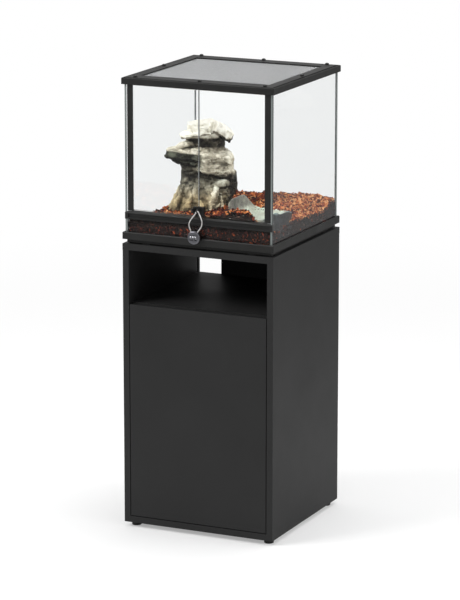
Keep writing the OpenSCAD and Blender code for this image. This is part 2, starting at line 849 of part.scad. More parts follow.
module door_sill() {
    end_x = glass_in - pane_fit;
    flange_y = pane_front - pane_fit;
    color(frame_black) difference() {
        along_x([-glass_out, glass_out])
            polygon([[sill_y, sill_z], [sill_back, sill_z], [sill_back, sill_top],
                [sill_y + sill_chamfer, sill_top], [sill_y, sill_top - sill_chamfer]]);
        on_both_sides() {
            block([end_x, glass_out + reach], [flange_y, sill_back + reach], [sill_z - reach, sill_top + reach]);
            translate([pivot_x, pivot_y, 0])
                post(pin_dia + 2 * pin_fit, [sill_top - pin_in_frame - pin_hole_spare, sill_top + reach]);
        }
        block([-end_x - reach, end_x + reach], [pane_front - glass_fit, strip_in + glass_fit],
            [sill_z - reach, sill_z + strip_bite]);
        block([-glass_in + channel_end, glass_in - channel_end], [sill_y - reach, sill_y + channel_d],
            [sill_z + channel_rise, sill_z + channel_rise + channel_h]);
    }
}

module top_frame() {
    slot_in = glass_in - glass_fit;
    slot_out = glass_out + glass_fit;
    rear_slot = rear_in - glass_fit;
    color(frame_black) difference() {
        slab(body_w, body_d, [frame_z, top_z]);
        slab(body_w - 2 * top_bar_w, body_d - 2 * top_bar_w, [frame_z - reach, top_z + reach]);
        slab(body_w - 2 * rim_w, body_d - 2 * rim_w, [ledge_z, top_z + reach]);
        block([-slot_out, slot_out], [rear_slot, glass_rear + glass_fit], [frame_z - reach, glass_top]);
        on_both_sides() {
            block([slot_in, slot_out], [pane_front - glass_fit, glass_rear], [frame_z - reach, glass_top]);
            translate([pivot_x, pivot_y, 0])
                post(pin_dia + 2 * pin_fit, [frame_z - reach, frame_z + pin_in_frame + pin_hole_spare]);
        }
        for (p = stud_spots) translate([p[0], p[1], 0])
            post(shank_dia + 2 * shank_fit, [ledge_z - shank_bite - pin_hole_spare, ledge_z + reach]);
        top_edge_cut(body_w, body_d, top_z, edge_chamfer);
    }
}

// ---- lid ----

module lid_frame() {
    color(frame_black) difference() {
        slab(2 * lid_x, 2 * lid_y, [ledge_z, lid_top]);
        slab(2 * lid_open[0], 2 * lid_open[1], [ledge_z - reach, lid_top + reach]);
        slab(2 * (lid_open[0] + mesh_bite), 2 * (lid_open[1] + mesh_bite), [mesh_z, mesh_z + mesh_t]);
        for (p = stud_spots) translate([p[0], p[1], 0])
            post(shank_dia + 2 * shank_fit, [ledge_z - reach, lid_top + reach]);
        top_edge_cut(2 * lid_x, 2 * lid_y, lid_top, edge_chamfer / 2);
    }
}

module lid_mesh() {
    color("#3a3a3a") difference() {
        slab(2 * (lid_open[0] + mesh_bite), 2 * (lid_open[1] + mesh_bite), [mesh_z, mesh_z + mesh_t]);
        for (i = [0:mesh_gaps - 1], j = [0:mesh_rows - 1])
            translate([(i + 0.5) * mesh_pitch[0] - lid_open[0], (j + 0.5) * mesh_pitch[1] - lid_open[1], 0])
                slab(mesh_pitch[0] - mesh_bar, mesh_pitch[1] - mesh_bar, [mesh_z - reach, mesh_z + mesh_t + reach]);
    }
}

module lid_studs() {
    r = stud_dia / 2;
    color(frame_black) for (p = stud_spots) translate([p[0], p[1], lid_top]) rotate_extrude()
        polygon([[0, -lid_t - shank_bite], [shank_dia / 2, -lid_t - shank_bite], [shank_dia / 2, 0],
            [r, 0], [r, stud_h * 0.4], for (a = [15:15:90]) [r * cos(a), stud_h * (0.4 + 0.6 * sin(a))]]);
}

// ---- glass doors ----

module door_profile() {
    side = pivot_x + profile_side;
    color(frame_black) difference() {
        union() {
            block([profile_in, side - profile_corner], profile_y, door_z);
            block([profile_in, side], [profile_y[0] + profile_corner, profile_y[1]], door_z);
            translate([side - profile_corner, profile_y[0] + profile_corner, 0])
                post(2 * profile_corner, door_z);
        }
        block([profile_in - reach, pane_x[1]], [pane_y, pane_y + pane_t], pane_z);
        block([profile_in - reach, profile_in + lip_short], [pane_y + pane_t, profile_y[1] + reach],
            [door_z[0] - reach, door_z[1] + reach]);
        translate([pivot_x, pivot_y, 0]) {
            post(pin_dia + 2 * pin_fit, [door_z[0] - reach, door_z[0] + pin_in_door]);
            post(pin_dia + 2 * pin_fit, [door_z[1] - pin_in_door, door_z[1] + reach]);
        }
    }
}

module door_profile_left() { mirror([1, 0, 0]) door_profile(); }
module door_profile_right() { door_profile(); }

module door_glass() {
    color(clear_glass) block(pane_x, [pane_y, pane_y + pane_t], pane_z);
}

module door_glass_left() { mirror([1, 0, 0]) door_glass(); }
module door_glass_right() { door_glass(); }

// A lower pin with a collar that carries the door, and an upper pin.
module pivot_pins() {
    color(fitting_grey) translate([pivot_x, pivot_y, 0]) {
        post(pin_dia, [sill_top - pin_in_frame, door_z[0] + pin_in_door]);
        post(2 * collar_r, [sill_top + collar_gap, door_z[0]]);
        post(pin_dia, [door_z[1] - pin_in_door, frame_z + pin_in_frame]);
    }
}

module pivot_pins_left() { mirror([1, 0, 0]) pivot_pins(); }
module pivot_pins_right() { pivot_pins(); }

// A clip over the pane's lower free corner, with an eye that stands out in front of it.
module lock_eye(x) {
    clip_front = pane_y - clip_t - 1;
    clip_z = pane_z[0] - clip_t;
    color(frame_black) difference() {
        union() {
            block([pane_x[0] + clip_x, pane_x[0] + clip_x + clip_w], [clip_front, pane_y + pane_t + clip_t + 1],
                [clip_z, eye_z + clip_top]);
            block([x - eye_t / 2, x + eye_t / 2], [eye_y, clip_front], [eye_z - eye_r, eye_z + eye_r]);
            bar_x(2 * eye_r, [x - eye_t / 2, x + eye_t / 2], eye_y, eye_z);
        }
        block([0, pane_x[1]], [pane_y, pane_y + pane_t], [pane_z[0], pane_z[1]]);
        bar_x(eye_dia, [x - eye_t / 2 - reach, x + eye_t / 2 + reach], eye_y, eye_z);
    }
}

module lock_eye_left() { mirror([1, 0, 0]) lock_eye(eye_left); }
module lock_eye_right() { lock_eye(eye_right); }

// ---- padlock ----

module dial_at(step) {
    x = lock_x + step * dial_pitch;
    color(lock_grey) difference() {
        bar_x(2 * dial_r, [x - dial_w / 2, x + dial_w / 2], eye_y, lock_z);
        bar_x(axle_dia + 2 * axle_fit, [x - dial_w, x + dial_w], eye_y, lock_z);
    }
}

module dial_left() { dial_at(-1); }
module dial_middle() { dial_at(0); }
module dial_right() { dial_at(1); }

module padlock_axle() {
    half = dial_pitch + dial_w / 2 + 3;
    color("silver") bar_x(axle_dia, [lock_x - half, lock_x + half], eye_y, lock_z);
}

module padlock_body() {
    axle_half = dial_pitch + dial_w / 2 + 3;
    flat = lock_r - lock_edge_r;
    rise = lock_t / 2 - lock_edge_r;
    color(lock_grey) difference() {
        translate([lock_x, eye_y, lock_z]) rotate([90, 0, 0]) rotate_extrude()
            polygon([[0, -lock_t / 2],
                for (a = [-90:15:0]) [flat + lock_edge_r * cos(a), -rise + lock_edge_r * sin(a)],
                for (a = [0:15:90]) [flat + lock_edge_r * cos(a), rise + lock_edge_r * sin(a)],
                [0, lock_t / 2]]);
        for (step = [-1:1]) {
            x = lock_x + step * dial_pitch;
            w = dial_w / 2 + dial_side_fit;
            block([x - w, x + w], [eye_y - lock_t, eye_y + lock_t], [lock_z - dial_window, lock_z + dial_window]);
        }
        bar_x(axle_dia + 2 * axle_fit, [lock_x - axle_half, lock_x + axle_half], eye_y, lock_z);
        for (p = [cable_route[0], cable_route[len(cable_route) - 1]])
            translate([eye_right + p[0], eye_y, 0]) post(cable_dia + 2 * socket_fit, [socket_z, lock_z + lock_r]);
    }
}

// The cable lies in one plane: each ring stands square to the route.
module padlock_cable() {
    last = len(cable_route) - 1;
    gap = min([for (a = [0:last - 6], b = [a + 6:last]) norm(cable_route[a] - cable_route[b])]) - cable_dia;
    echo(cable_gap = gap);
    color("silver") loft([
        for (k = [0:last])
            let (ahead = cable_route[min(k + 1, last)] - cable_route[max(k - 1, 0)],
                along = k == 0 || k == last ? [0, sign(ahead[1])] : ahead / norm(ahead),
                p = cable_route[k])
            [for (i = [0:lock_sides - 1])
                let (a = i * 360 / lock_sides, c = cable_dia / 2 * cos(a), s = cable_dia / 2 * sin(a))
                [eye_right + p[0] + c * along[1], eye_y + s, eye_z + p[1] - c * along[0]]]]);
}

// ---- substrate and decor ----

module rock_pocket() {
    translate([rock_x + rock_mid_shift, -rock_front, rock_foot_z]) linear_extrude(rock_h)
        polygon([for (i = [0:rock_sides - 1]) let (a = i * 360 / rock_sides)
            [(rock_foot_a + pocket_fit) * cos(a), (rock_foot_b + pocket_fit) * sin(a)]]);
}

// A point of the dish's rounded square outline.
function dish_point(a, share, grow) = [
    dish_x + (share * dish_w / 2 + grow) * sign(cos(a)) * pow(abs(cos(a)), dish_power),
    dish_y + (share * dish_d / 2 + grow) * sign(sin(a)) * pow(abs(sin(a)), dish_power)];

// The pocket is open to the right pane, where the dish stands against the glass.
module dish_pocket() {
    translate([0, 0, dish_foot_z]) linear_extrude(soil_h) {
        polygon([for (i = [0:dish_sides - 1]) dish_point(i * 360 / dish_sides, 1, soil_fit + 0.1)]);
        translate([dish_x, dish_y - dish_flat / 2]) square([dish_w, dish_flat]);
    }
}

// The substrate slopes from front to rear, falls towards both side panes and fits round the sill.
module substrate() {
    side = glass_in - soil_fit;
    front = strip_in + soil_fit;
    rear = rear_in - soil_fit;
    crest = soil_z + soil_rise;
    color("#7a3b24") difference() {
        intersection() {
            along_x([-side, side]) polygon([[rear, floor_glass_top], [front, floor_glass_top],
                [front, sill_z - soil_fit], [soil_front, sill_z - soil_fit], [soil_front, crest],
                [rear, soil_z - soil_rise]]);
            along_y([front, rear]) polygon([[-side, floor_glass_top], [side, floor_glass_top],
                [side, soil_z - soil_dip], [soil_dip_start, crest], [-soil_slope_start, crest],
                [-side, soil_z - soil_fall]]);
        }
        seam_set(seam_leg + 2 * soil_fit);
        rock_pocket();
        dish_pocket();
    }
}

// One level of the rock, drawn in lobes that fade out at its foot.
function rock_ring(level) =
    let (h = level[0] * rock_h / rock_full_h, mid = (level[1] + level[2]) / 2, half = (level[2] - level[1]) / 2,
        fade = min(1, max(0, level[0] - rock_smooth_h) / rock_fade_h))
    [for (i = [0:rock_sides - 1])
        let (a = i * 360 / rock_sides,
            lobes = 1 + fade * (0.05 * sin(3 * a + level[0] * 2) + 0.03 * sin(5 * a - level[0] * 5)))
        [rock_x + mid + half * lobes * cos(a), -rock_front + level[3] * lobes * sin(a), rock_foot_z + h]];

module rock_ornament() {
    color("#a9a893") loft([for (k = [len(rock_levels) - 1:-1:0]) rock_ring(rock_levels[k])]);
}

// A smooth bump of height 1 at the angle at[0], which ends at[1] before it and at[2] after it.
function bump(a, at) =
    let (off = (a - at[0] + 540) % 360 - 180)
    pow(cos(90 * min(1, max(-off / at[1], off / at[2]))), 2);

// Height of the dish's rim: a raised wall at the left, and a lower one at the right pane.
function rim_at(a) =
    soil_z + dish_rim + dish_wall * bump(a, dish_wall_at) + dish_lean * bump(a, dish_lean_at);

module water_dish() {
    sections = concat(
        [[for (i = [0:dish_sides - 1]) concat(dish_point(i * 360 / dish_sides, 1, 0), [dish_foot_z])]],
        [for (ring = dish_rings) [for (i = [0:dish_sides - 1])
            let (a = i * 360 / dish_sides, rim = rim_at(a))
            concat(dish_point(a, ring[0], 0), [rim + (basin_z - rim) * ring[1]])]]);
    color("#9fb3ad") loft([for (k = [len(sections) - 1:-1:0]) sections[k]]);
}

side_board_left();
side_board_right();
top_board();
floor_board();
niche_board();
back_board();
placed_shelf();  // inner_shelf
shelf_pins();
dowels();
glide_front_left();
glide_front_right();
glide_back_left();
glide_back_right();
hinge_arms();
hinge_plate_screws();
cabinet_door();
hinge_cups();
hinge_links();
hinge_cup_screws();
strike_plate();
latch_housing();
latch_plunger();
latch_spring();
tank_pads();
base_frame();
glass_floor();
glass_left();
glass_right();
glass_back();
glass_strip();
silicone_seams();
door_sill();
top_frame();
lid_frame();
lid_mesh();
lid_studs();
door_profile_left();
door_profile_right();
door_glass_left();
door_glass_right();
pivot_pins_left();
pivot_pins_right();
lock_eye_left();
lock_eye_right();
padlock_body();
padlock_axle();
dial_left();
dial_middle();
dial_right();
padlock_cable();
substrate();
rock_ornament();
water_dish();
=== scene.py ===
"""Looks of a terrarium cabinet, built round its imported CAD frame, in metres."""

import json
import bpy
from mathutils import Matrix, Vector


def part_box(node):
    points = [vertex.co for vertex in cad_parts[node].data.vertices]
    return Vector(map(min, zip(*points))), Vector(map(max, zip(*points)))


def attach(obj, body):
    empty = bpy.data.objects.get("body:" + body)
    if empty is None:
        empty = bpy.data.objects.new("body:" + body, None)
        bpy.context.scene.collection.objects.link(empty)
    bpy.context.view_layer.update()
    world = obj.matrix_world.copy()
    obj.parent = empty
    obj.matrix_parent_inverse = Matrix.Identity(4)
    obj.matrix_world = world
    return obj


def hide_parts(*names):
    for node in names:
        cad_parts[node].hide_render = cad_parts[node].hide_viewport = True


bl_info = {
    "name": "Terrarium Cabinet",
    "version": (1, 0, 0),
    "blender": (4, 5, 0),
    "location": "View3D > Sidebar > Terrarium",
    "description": "Builds a glass terrarium on a tall black cabinet",
    "category": "Add Mesh",
}

import bmesh
import bpy
import numpy as np
from bpy.props import FloatProperty, FloatVectorProperty, IntProperty, PointerProperty
from mathutils import Vector

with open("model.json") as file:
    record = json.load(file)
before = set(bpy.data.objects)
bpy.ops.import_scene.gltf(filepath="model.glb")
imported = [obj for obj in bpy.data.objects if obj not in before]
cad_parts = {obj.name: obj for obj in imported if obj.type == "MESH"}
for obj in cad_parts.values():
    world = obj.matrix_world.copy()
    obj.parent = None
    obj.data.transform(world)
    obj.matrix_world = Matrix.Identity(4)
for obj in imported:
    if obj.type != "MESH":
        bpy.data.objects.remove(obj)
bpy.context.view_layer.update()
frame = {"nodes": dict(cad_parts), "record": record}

MM = 0.001
CLEAR = 0.0002  # metres that a carved piece keeps inside its node's box
BODY_OF = {
    node: body
    for body, nodes in frame["record"]["behaviour"]["bodies"].items()
    for node in nodes
}


# ---------------------------------------------------------------- colours and nodes


def linear(hex_colour):
    """sRGB hex to linear RGBA: c/12.92 below 0.04045, else ((c + 0.055)/1.055)^2.4."""
    value = hex_colour.lstrip("#")
    srgb = np.array([int(value[i : i + 2], 16) for i in (0, 2, 4)]) / 255
    light = np.where(srgb <= 0.04045, srgb / 12.92, ((srgb + 0.055) / 1.055) ** 2.4)
    return (*light.tolist(), 1.0)


def colour_property(name, hex_colour, description):
    """A colour that a user may change, from sRGB hex."""
    return FloatVectorProperty(
        name=name, description=description, subtype="COLOR", size=4, min=0, max=1,
        default=linear(hex_colour),
    )


def length_property(name, default, description):
    """A length in metres that a user may change."""
    return FloatProperty(
        name=name, description=description, default=default, min=0, unit="LENGTH",
        subtype="DISTANCE", precision=5,
    )


def add(material, kind, inputs=None, **settings):
    """Adds a node: settings are its properties, inputs its sockets' values or sources."""
    tree = material.node_tree
    made = tree.nodes.new(kind)
    for name, value in settings.items():
        setattr(made, name, value)
    for name, value in (inputs or {}).items():
        if isinstance(value, bpy.types.NodeSocket):
            tree.links.new(value, made.inputs[name])
        else:
            made.inputs[name].default_value = value
    return made


def new_material(name):
    """A material with an empty node tree."""
    material = bpy.data.materials.new(name)
    material.use_nodes = True
    material.node_tree.nodes.clear()
    return material


def ramp(material, fac, stops):
    """A colour ramp through stops of (place, hex colour or linear colour)."""
    made = add(material, "ShaderNodeValToRGB", {"Fac": fac})
    elements = made.color_ramp.elements
    while len(elements) < len(stops):
        elements.new(0.5)
    for element, (place, shade) in zip(elements, stops):
        element.position = place
        element.color = linear(shade) if isinstance(shade, str) else shade
    return made.outputs["Color"]


def output(material, shader):
    """Ends a material in its shader."""
    add(material, "ShaderNodeOutputMaterial", {"Surface": shader.outputs[0]})
    return material


def object_place(material):
    """Object coordinates, which are the shared frame's, in metres."""
    return add(material, "ShaderNodeTexCoord").outputs["Object"]


# ---------------------------------------------------------------- materials


def melamine(colour):
    """Melamine-faced chipboard, pressed in a fine pearl texture: an even, soft black sheen."""
    m = new_material("melamine_pearl_black")
    place = object_place(m)
    # The pearls are 0.6 mm, drawn at 1.2 mm so that they show.
    pearl = add(m, "ShaderNodeTexNoise", {"Vector": place, "Scale": 830, "Detail": 2})
    cloud = add(m, "ShaderNodeTexNoise", {"Vector": place, "Scale": 7, "Detail": 3})
    rough = add(m, "ShaderNodeMapRange", {"Value": cloud.outputs["Fac"], "From Min": 0.3,
                "From Max": 0.7, "To Min": 0.42, "To Max": 0.52})
    tint = add(m, "ShaderNodeMix", {"Factor": cloud.outputs["Fac"], "A": colour,
               "B": [c * 1.25 for c in colour[:3]] + [1]}, data_type="RGBA")
    bump = add(m, "ShaderNodeBump", {"Height": pearl.outputs["Fac"], "Strength": 0.25,
               "Distance": 0.0001})
    return output(m, add(m, "ShaderNodeBsdfPrincipled", {
        "Base Color": tint.outputs["Result"], "Roughness": rough.outputs["Result"],
        "Specular IOR Level": 0.14, "Normal": bump.outputs["Normal"]}))


def moulded_plastic(name, colour, grain, roughness, strength=0.3):
    """Injection-moulded plastic with a spark-eroded grain that breaks up its highlights."""
    m = new_material(name)
    place = object_place(m)
    grit = add(m, "ShaderNodeTexNoise", {"Vector": place, "Scale": 1 / grain, "Detail": 3})
    wear = add(m, "ShaderNodeTexNoise", {"Vector": place, "Scale": 24, "Detail": 4})
    rough = add(m, "ShaderNodeMapRange", {"Value": wear.outputs["Fac"], "From Min": 0.3,
                "From Max": 0.7, "To Min": roughness - 0.07, "To Max": roughness + 0.07})
    tint = add(m, "ShaderNodeMix", {"Factor": wear.outputs["Fac"], "A": colour,
               "B": [c * 1.35 for c in colour[:3]] + [1]}, data_type="RGBA")
    bump = add(m, "ShaderNodeBump", {"Height": grit.outputs["Fac"], "Strength": strength,
               "Distance": grain / 4})
    return output(m, add(m, "ShaderNodeBsdfPrincipled", {
        "Base Color": tint.outputs["Result"], "Roughness": rough.outputs["Result"],
        "Specular IOR Level": 0.35, "Normal": bump.outputs["Normal"]}))


def plated_metal(name, colour, roughness, brush):
    """Rolled or cast metal under a plating: fine lines drawn along X stretch the glints."""
    m = new_material(name)
    place = object_place(m)
    lines = add(m, "ShaderNodeMapping", {"Vector": place, "Scale": (1, 14, 14)})
    drawn = add(m, "ShaderNodeTexNoise", {"Vector": lines.outputs["Vector"],
                "Scale": 1 / brush / 14, "Detail": 3})
    spots = add(m, "ShaderNodeTexNoise", {"Vector": place, "Scale": 160, "Detail": 3})
    rough = add(m, "ShaderNodeMapRange", {"Value": drawn.outputs["Fac"], "From Min": 0.3,
                "From Max": 0.7, "To Min": roughness - 0.06, "To Max": roughness + 0.08})
    tint = add(m, "ShaderNodeMix", {"Factor": spots.outputs["Fac"], "A": colour,
               "B": [c * 0.8 for c in colour[:3]] + [1]}, data_type="RGBA")
    bump = add(m, "ShaderNodeBump", {"Height": drawn.outputs["Fac"], "Strength": 0.15,
               "Distance": 0.00005})
    return output(m, add(m, "ShaderNodeBsdfPrincipled", {
        "Base Color": tint.outputs["Result"], "Metallic": 1.0,
        "Roughness": rough.outputs["Result"], "Normal": bump.outputs["Normal"]}))


def float_glass(colour):
    """Float glass. Its index is set to 1.34, below the real 1.52, and its mirroring is cut,
    because the photographed panes lose hardly any light. Shadows stay clear of it."""
    m = new_material("float_glass")
    place = object_place(m)
    smear = add(m, "ShaderNodeTexNoise", {"Vector": place, "Scale": 9, "Detail": 4})
    rough = add(m, "ShaderNodeMapRange", {"Value": smear.outputs["Fac"], "From Min": 0.45,
                "From Max": 0.75, "To Min": 0.0, "To Max": 0.006})
    glass = add(m, "ShaderNodeBsdfPrincipled", {
        "Base Color": colour, "Transmission Weight": 1.0, "IOR": 1.34,
        "Specular Tint": (0.6, 0.6, 0.6, 1), "Roughness": rough.outputs["Result"]})
    clear = add(m, "ShaderNodeBsdfTransparent", {"Color": colour})
    path = add(m, "ShaderNodeLightPath")
    return output(m, add(m, "ShaderNodeMixShader", {
        "Fac": path.outputs["Is Shadow Ray"], 1: glass.outputs[0], 2: clear.outputs[0]}))


def ground_edge(name, colour):
    """A pane's edge, ground flat on a belt: silky grey, because it scatters light and hides
    the view along the glass."""
    m = new_material(name)
    place = object_place(m)
    grind = add(m, "ShaderNodeTexNoise", {"Vector": place, "Scale": 900, "Detail": 2})
    tint = add(m, "ShaderNodeMix", {"Factor": grind.outputs["Fac"], "A": colour,
               "B": [c * 0.8 for c in colour[:3]] + [1]}, data_type="RGBA")
    bump = add(m, "ShaderNodeBump", {"Height": grind.outputs["Fac"], "Strength": 0.2,
               "Distance": 0.00005})
    return output(m, add(m, "ShaderNodeBsdfPrincipled", {
        "Base Color": tint.outputs["Result"], "Roughness": 0.5, "Transmission Weight": 0.15,
        "IOR": 1.5, "Normal": bump.outputs["Normal"]}))


def silicone_rubber(colour):
    """Acetoxy silicone, tooled with a wet finger: glossy, with slow waves along the bead."""
    m = new_material("silicone_black")
    place = object_place(m)
    wave = add(m, "ShaderNodeTexNoise", {"Vector": place, "Scale": 60, "Detail": 2})
    rough = add(m, "ShaderNodeMapRange", {"Value": wave.outputs["Fac"], "To Min": 0.2,
                "To Max": 0.34})
    bump = add(m, "ShaderNodeBump", {"Height": wave.outputs["Fac"], "Strength": 0.4,
               "Distance": 0.0006})
    return output(m, add(m, "ShaderNodeBsdfPrincipled", {
        "Base Color": colour, "Roughness": rough.outputs["Result"], "IOR": 1.41,
        "Normal": bump.outputs["Normal"]}))


def beech_wood(colour):
    """Turned beech dowel: straight grain along X with short dark flecks."""
    m = new_material("beech_dowel")
    place = object_place(m)
    along = add(m, "ShaderNodeMapping", {"Vector": place, "Scale": (1, 12, 12)})
    grain = add(m, "ShaderNodeTexNoise", {"Vector": along.outputs["Vector"], "Scale": 90,
                "Detail": 5})
    tint = ramp(m, grain.outputs["Fac"], [(0.3, "#a97c4c"), (0.55, colour), (0.8, "#dcc09a")])
    bump = add(m, "ShaderNodeBump", {"Height": grain.outputs["Fac"], "Strength": 0.3,
               "Distance": 0.0001})
    return output(m, add(m, "ShaderNodeBsdfPrincipled", {
        "Base Color": tint, "Roughness": 0.62, "Normal": bump.outputs["Normal"]}))


def bark(stops, spread):
    """Pine bark, broken and screened: each chip has its own tint, with dark fibres and pits."""
    m = new_material("pine_bark_chips")
    place = object_place(m)
    tint = add(m, "ShaderNodeAttribute", attribute_name="tint").outputs["Fac"]
    fibre = add(m, "ShaderNodeTexNoise", {"Vector": place, "Scale": 420, "Detail": 4,
                "Roughness": 0.7})
    mixed = add(m, "ShaderNodeMath", {0: fibre.outputs["Fac"], 1: spread, 2: tint},
                operation="MULTIPLY_ADD")
    shifted = add(m, "ShaderNodeMath", {0: mixed.outputs["Value"], 1: spread / 2},
                  operation="SUBTRACT", use_clamp=True)
    bump = add(m, "ShaderNodeBump", {"Height": fibre.outputs["Fac"], "Strength": 0.6,
               "Distance": 0.0006})
    return output(m, add(m, "ShaderNodeBsdfPrincipled", {
        "Base Color": ramp(m, shifted.outputs["Value"], stops), "Roughness": 0.82,
        "Specular IOR Level": 0.25, "Normal": bump.outputs["Normal"]}))


def soil_mix(stops):
    """Damp coconut and bark fines: crumbs of 2 to 5 mm, darker in the gaps between them."""
    m = new_material("soil_fines")
    place = object_place(m)
    crumbs = add(m, "ShaderNodeTexVoronoi", {"Vector": place, "Scale": 260, "Randomness": 1})
    cloud = add(m, "ShaderNodeTexNoise", {"Vector": place, "Scale": 38, "Detail": 6,
                "Roughness": 0.65})
    split = add(m, "ShaderNodeSeparateColor", {"Color": crumbs.outputs["Color"]})
    mixed = add(m, "ShaderNodeMath", {0: split.outputs["Red"], 1: 0.55,
                2: cloud.outputs["Fac"]}, operation="MULTIPLY_ADD")
    shifted = add(m, "ShaderNodeMath", {0: mixed.outputs["Value"], 1: 0.28},
                  operation="SUBTRACT", use_clamp=True)
    bump = add(m, "ShaderNodeBump", {"Height": crumbs.outputs["Distance"], "Strength": 0.8,
               "Distance": 0.0012}, invert=True)
    return output(m, add(m, "ShaderNodeBsdfPrincipled", {
        "Base Color": ramp(m, shifted.outputs["Value"], stops), "Roughness": 0.9,
        "Specular IOR Level": 0.2, "Normal": bump.outputs["Normal"]}))


def painted_resin(name, stops, blue_grey_and_shade_tint, moss_tint, roughest, smoothest):
    """Cast resin painted as stone: the piece's own tones, with painted light and shade among
    them, broken by sprayed clouds and fine pits, with thin washes of blue-grey and olive over
    them. The blue-grey wash also darkens, as painted shade."""
    m = new_material(name)
    place = object_place(m)
    cloud = add(m, "ShaderNodeTexNoise", {"Vector": place, "Scale": 102, "Detail": 7,
                "Roughness": 0.68})
    grit = add(m, "ShaderNodeTexVoronoi", {"Vector": place, "Scale": 330})
    tone, damp, moss = (add(m, "ShaderNodeAttribute", attribute_name=wash).outputs["Fac"]
                        for wash in ("tone", "damp", "moss"))
    lively = add(m, "ShaderNodeMath", {0: cloud.outputs["Fac"], 1: 0.5, 2: tone},
                 operation="MULTIPLY_ADD")
    shifted = add(m, "ShaderNodeMath", {0: lively.outputs["Value"], 1: 0.25},
                  operation="SUBTRACT", use_clamp=True)
    base = ramp(m, shifted.outputs["Value"], stops)
    # The blue-grey tint darkens where it lies, as painted shade.
    blue_grey_and_shaded = add(m, "ShaderNodeMix", {"Factor": damp, "A": (1, 1, 1, 1),
              "B": blue_grey_and_shade_tint}, data_type="RGBA")
    green = add(m, "ShaderNodeMix", {"Factor": moss, "A": blue_grey_and_shaded.outputs["Result"],
                "B": moss_tint}, data_type="RGBA")
    washed = add(m, "ShaderNodeMix", {"Factor": 1.0, "A": base, "B": green.outputs["Result"]},
                 data_type="RGBA", blend_type="MULTIPLY")
    height = add(m, "ShaderNodeMath", {0: cloud.outputs["Fac"], 1: 1.6,
                 2: grit.outputs["Distance"]}, operation="MULTIPLY_ADD")
    bump = add(m, "ShaderNodeBump", {"Height": height.outputs["Value"], "Strength": 0.6,
               "Distance": 0.0016})
    rough = add(m, "ShaderNodeMapRange", {"Value": cloud.outputs["Fac"],
                "To Min": smoothest, "To Max": roughest})
    return output(m, add(m, "ShaderNodeBsdfPrincipled", {
        "Base Color": washed.outputs["Result"], "Roughness": rough.outputs["Result"],
        "Specular IOR Level": 0.3, "Normal": bump.outputs["Normal"]}))


# ---------------------------------------------------------------- meshes


def place_piece(obj, body, material=None, nodes=()):
    """Gives a piece its material, its body and the nodes it stands for."""
    if material:
        obj.data.materials.clear()
        obj.data.materials.append(material)
    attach(obj, body)
    if nodes:
        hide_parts(*nodes)
    return obj


def new_piece(name, points, faces, smooth=True):
    """A new object at the origin, whose mesh has these points, in metres, and faces."""
    mesh = bpy.data.meshes.new(name)
    faces = faces.tolist() if isinstance(faces, np.ndarray) else faces
    mesh.from_pydata(np.asarray(points, float).reshape(-1, 3).tolist(), [], faces)
    mesh.update()
    if smooth:
        mesh.shade_smooth()
    obj = bpy.data.objects.new(name, mesh)
    bpy.context.scene.collection.objects.link(obj)
    return obj


def strip_faces(rows, cols, wrap_rows=False, wrap_cols=False):
    """The quads of a grid of rows x cols points, each (row, col) to (row+1, col+1)."""
    r = np.arange(rows if wrap_rows else rows - 1)
    c = np.arange(cols if wrap_cols else cols - 1)
    r, c = (a.ravel() for a in np.meshgrid(r, c, indexing="ij"))
    down, right = (r + 1) % rows, (c + 1) % cols
    return np.stack([r * cols + c, r * cols + right, down * cols + right, down * cols + c], 1)


def outward(obj):
    """Merges doubles and turns every face outwards."""
    bm = bmesh.new()
    bm.from_mesh(obj.data)
    bmesh.ops.remove_doubles(bm, verts=bm.verts, dist=1e-7)
    bmesh.ops.recalc_face_normals(bm, faces=bm.faces)
    bm.to_mesh(obj.data)
    bm.free()
    return obj


def edged_copy(node, suffix, material, width, segments=2, angle=35):
    """A merged copy of a CAD node with its sharp edges rounded, which stands for the node."""
    mesh = frame["nodes"][node].data.copy()
    mesh.name = f"{node}_{suffix}"
    bm = bmesh.new()
    bm.from_mesh(mesh)
    bmesh.ops.remove_doubles(bm, verts=bm.verts, dist=1e-6)
    bmesh.ops.dissolve_limit(bm, angle_limit=np.radians(0.5), verts=bm.verts, edges=bm.edges)
    bm.to_mesh(mesh)
    bm.free()
    if "custom_normal" in mesh.attributes:
        mesh.attributes.remove(mesh.attributes["custom_normal"])
    mesh.shade_smooth()
    mesh.set_sharp_from_angle(angle=np.radians(angle))
    obj = bpy.data.objects.new(f"{node}_{suffix}", mesh)
    bpy.context.scene.collection.objects.link(obj)
    if width:
        bevel = obj.modifiers.new("rounded_edges", "BEVEL")
        bevel.width = width
        bevel.segments = segments
        bevel.limit_method = "ANGLE"
        bevel.angle_limit = np.radians(angle)
        bevel.harden_normals = True
    return place_piece(obj, BODY_OF[node], material, [node])


def dress(node, material):
    """Gives a CAD node that stays in view its finish."""
    node_object = frame["nodes"][node]
    node_object.data.materials.clear()
    node_object.data.materials.append(material)


# ---------------------------------------------------------------- noise


def lattice(cells, seed):
    """A random number from 0 to 1 for each whole-number cell, from its mixed bits."""
    h = (cells[..., 0] * 374761393 + cells[..., 1] * 668265263
         + cells[..., 2] * 2147483647 + seed * 1274126177) & 0xFFFFFFFF
    h = ((h ^ (h >> 13)) * 1274126177) & 0xFFFFFFFF
    return ((h ^ (h >> 16)) & 0xFFFFFF) / 0xFFFFFF


def noise(points, seed=0):
    """Value noise: the cube's eight corner values blended by 3t^2 - 2t^3 on each axis."""
    base = np.floor(points).astype(np.int64)
    t = points - base
    t = t * t * (3 - 2 * t)
    total = 0
    for corner in np.ndindex(2, 2, 2):
        weight = np.prod(np.where(np.array(corner) == 1, t, 1 - t), axis=-1)
        total = total + weight * lattice(base + np.array(corner), seed)
    return total * 2 - 1


def fractal(points, octaves=4, seed=0, gain=0.5):
    """Sums value noise, each octave at twice the frequency and gain times the height."""
    total, height, reach = 0, 1.0, 0.0
    for k in range(octaves):
        total = total + height * noise(points * 2**k, seed + k)
        reach += height
        height *= gain
    return total / reach


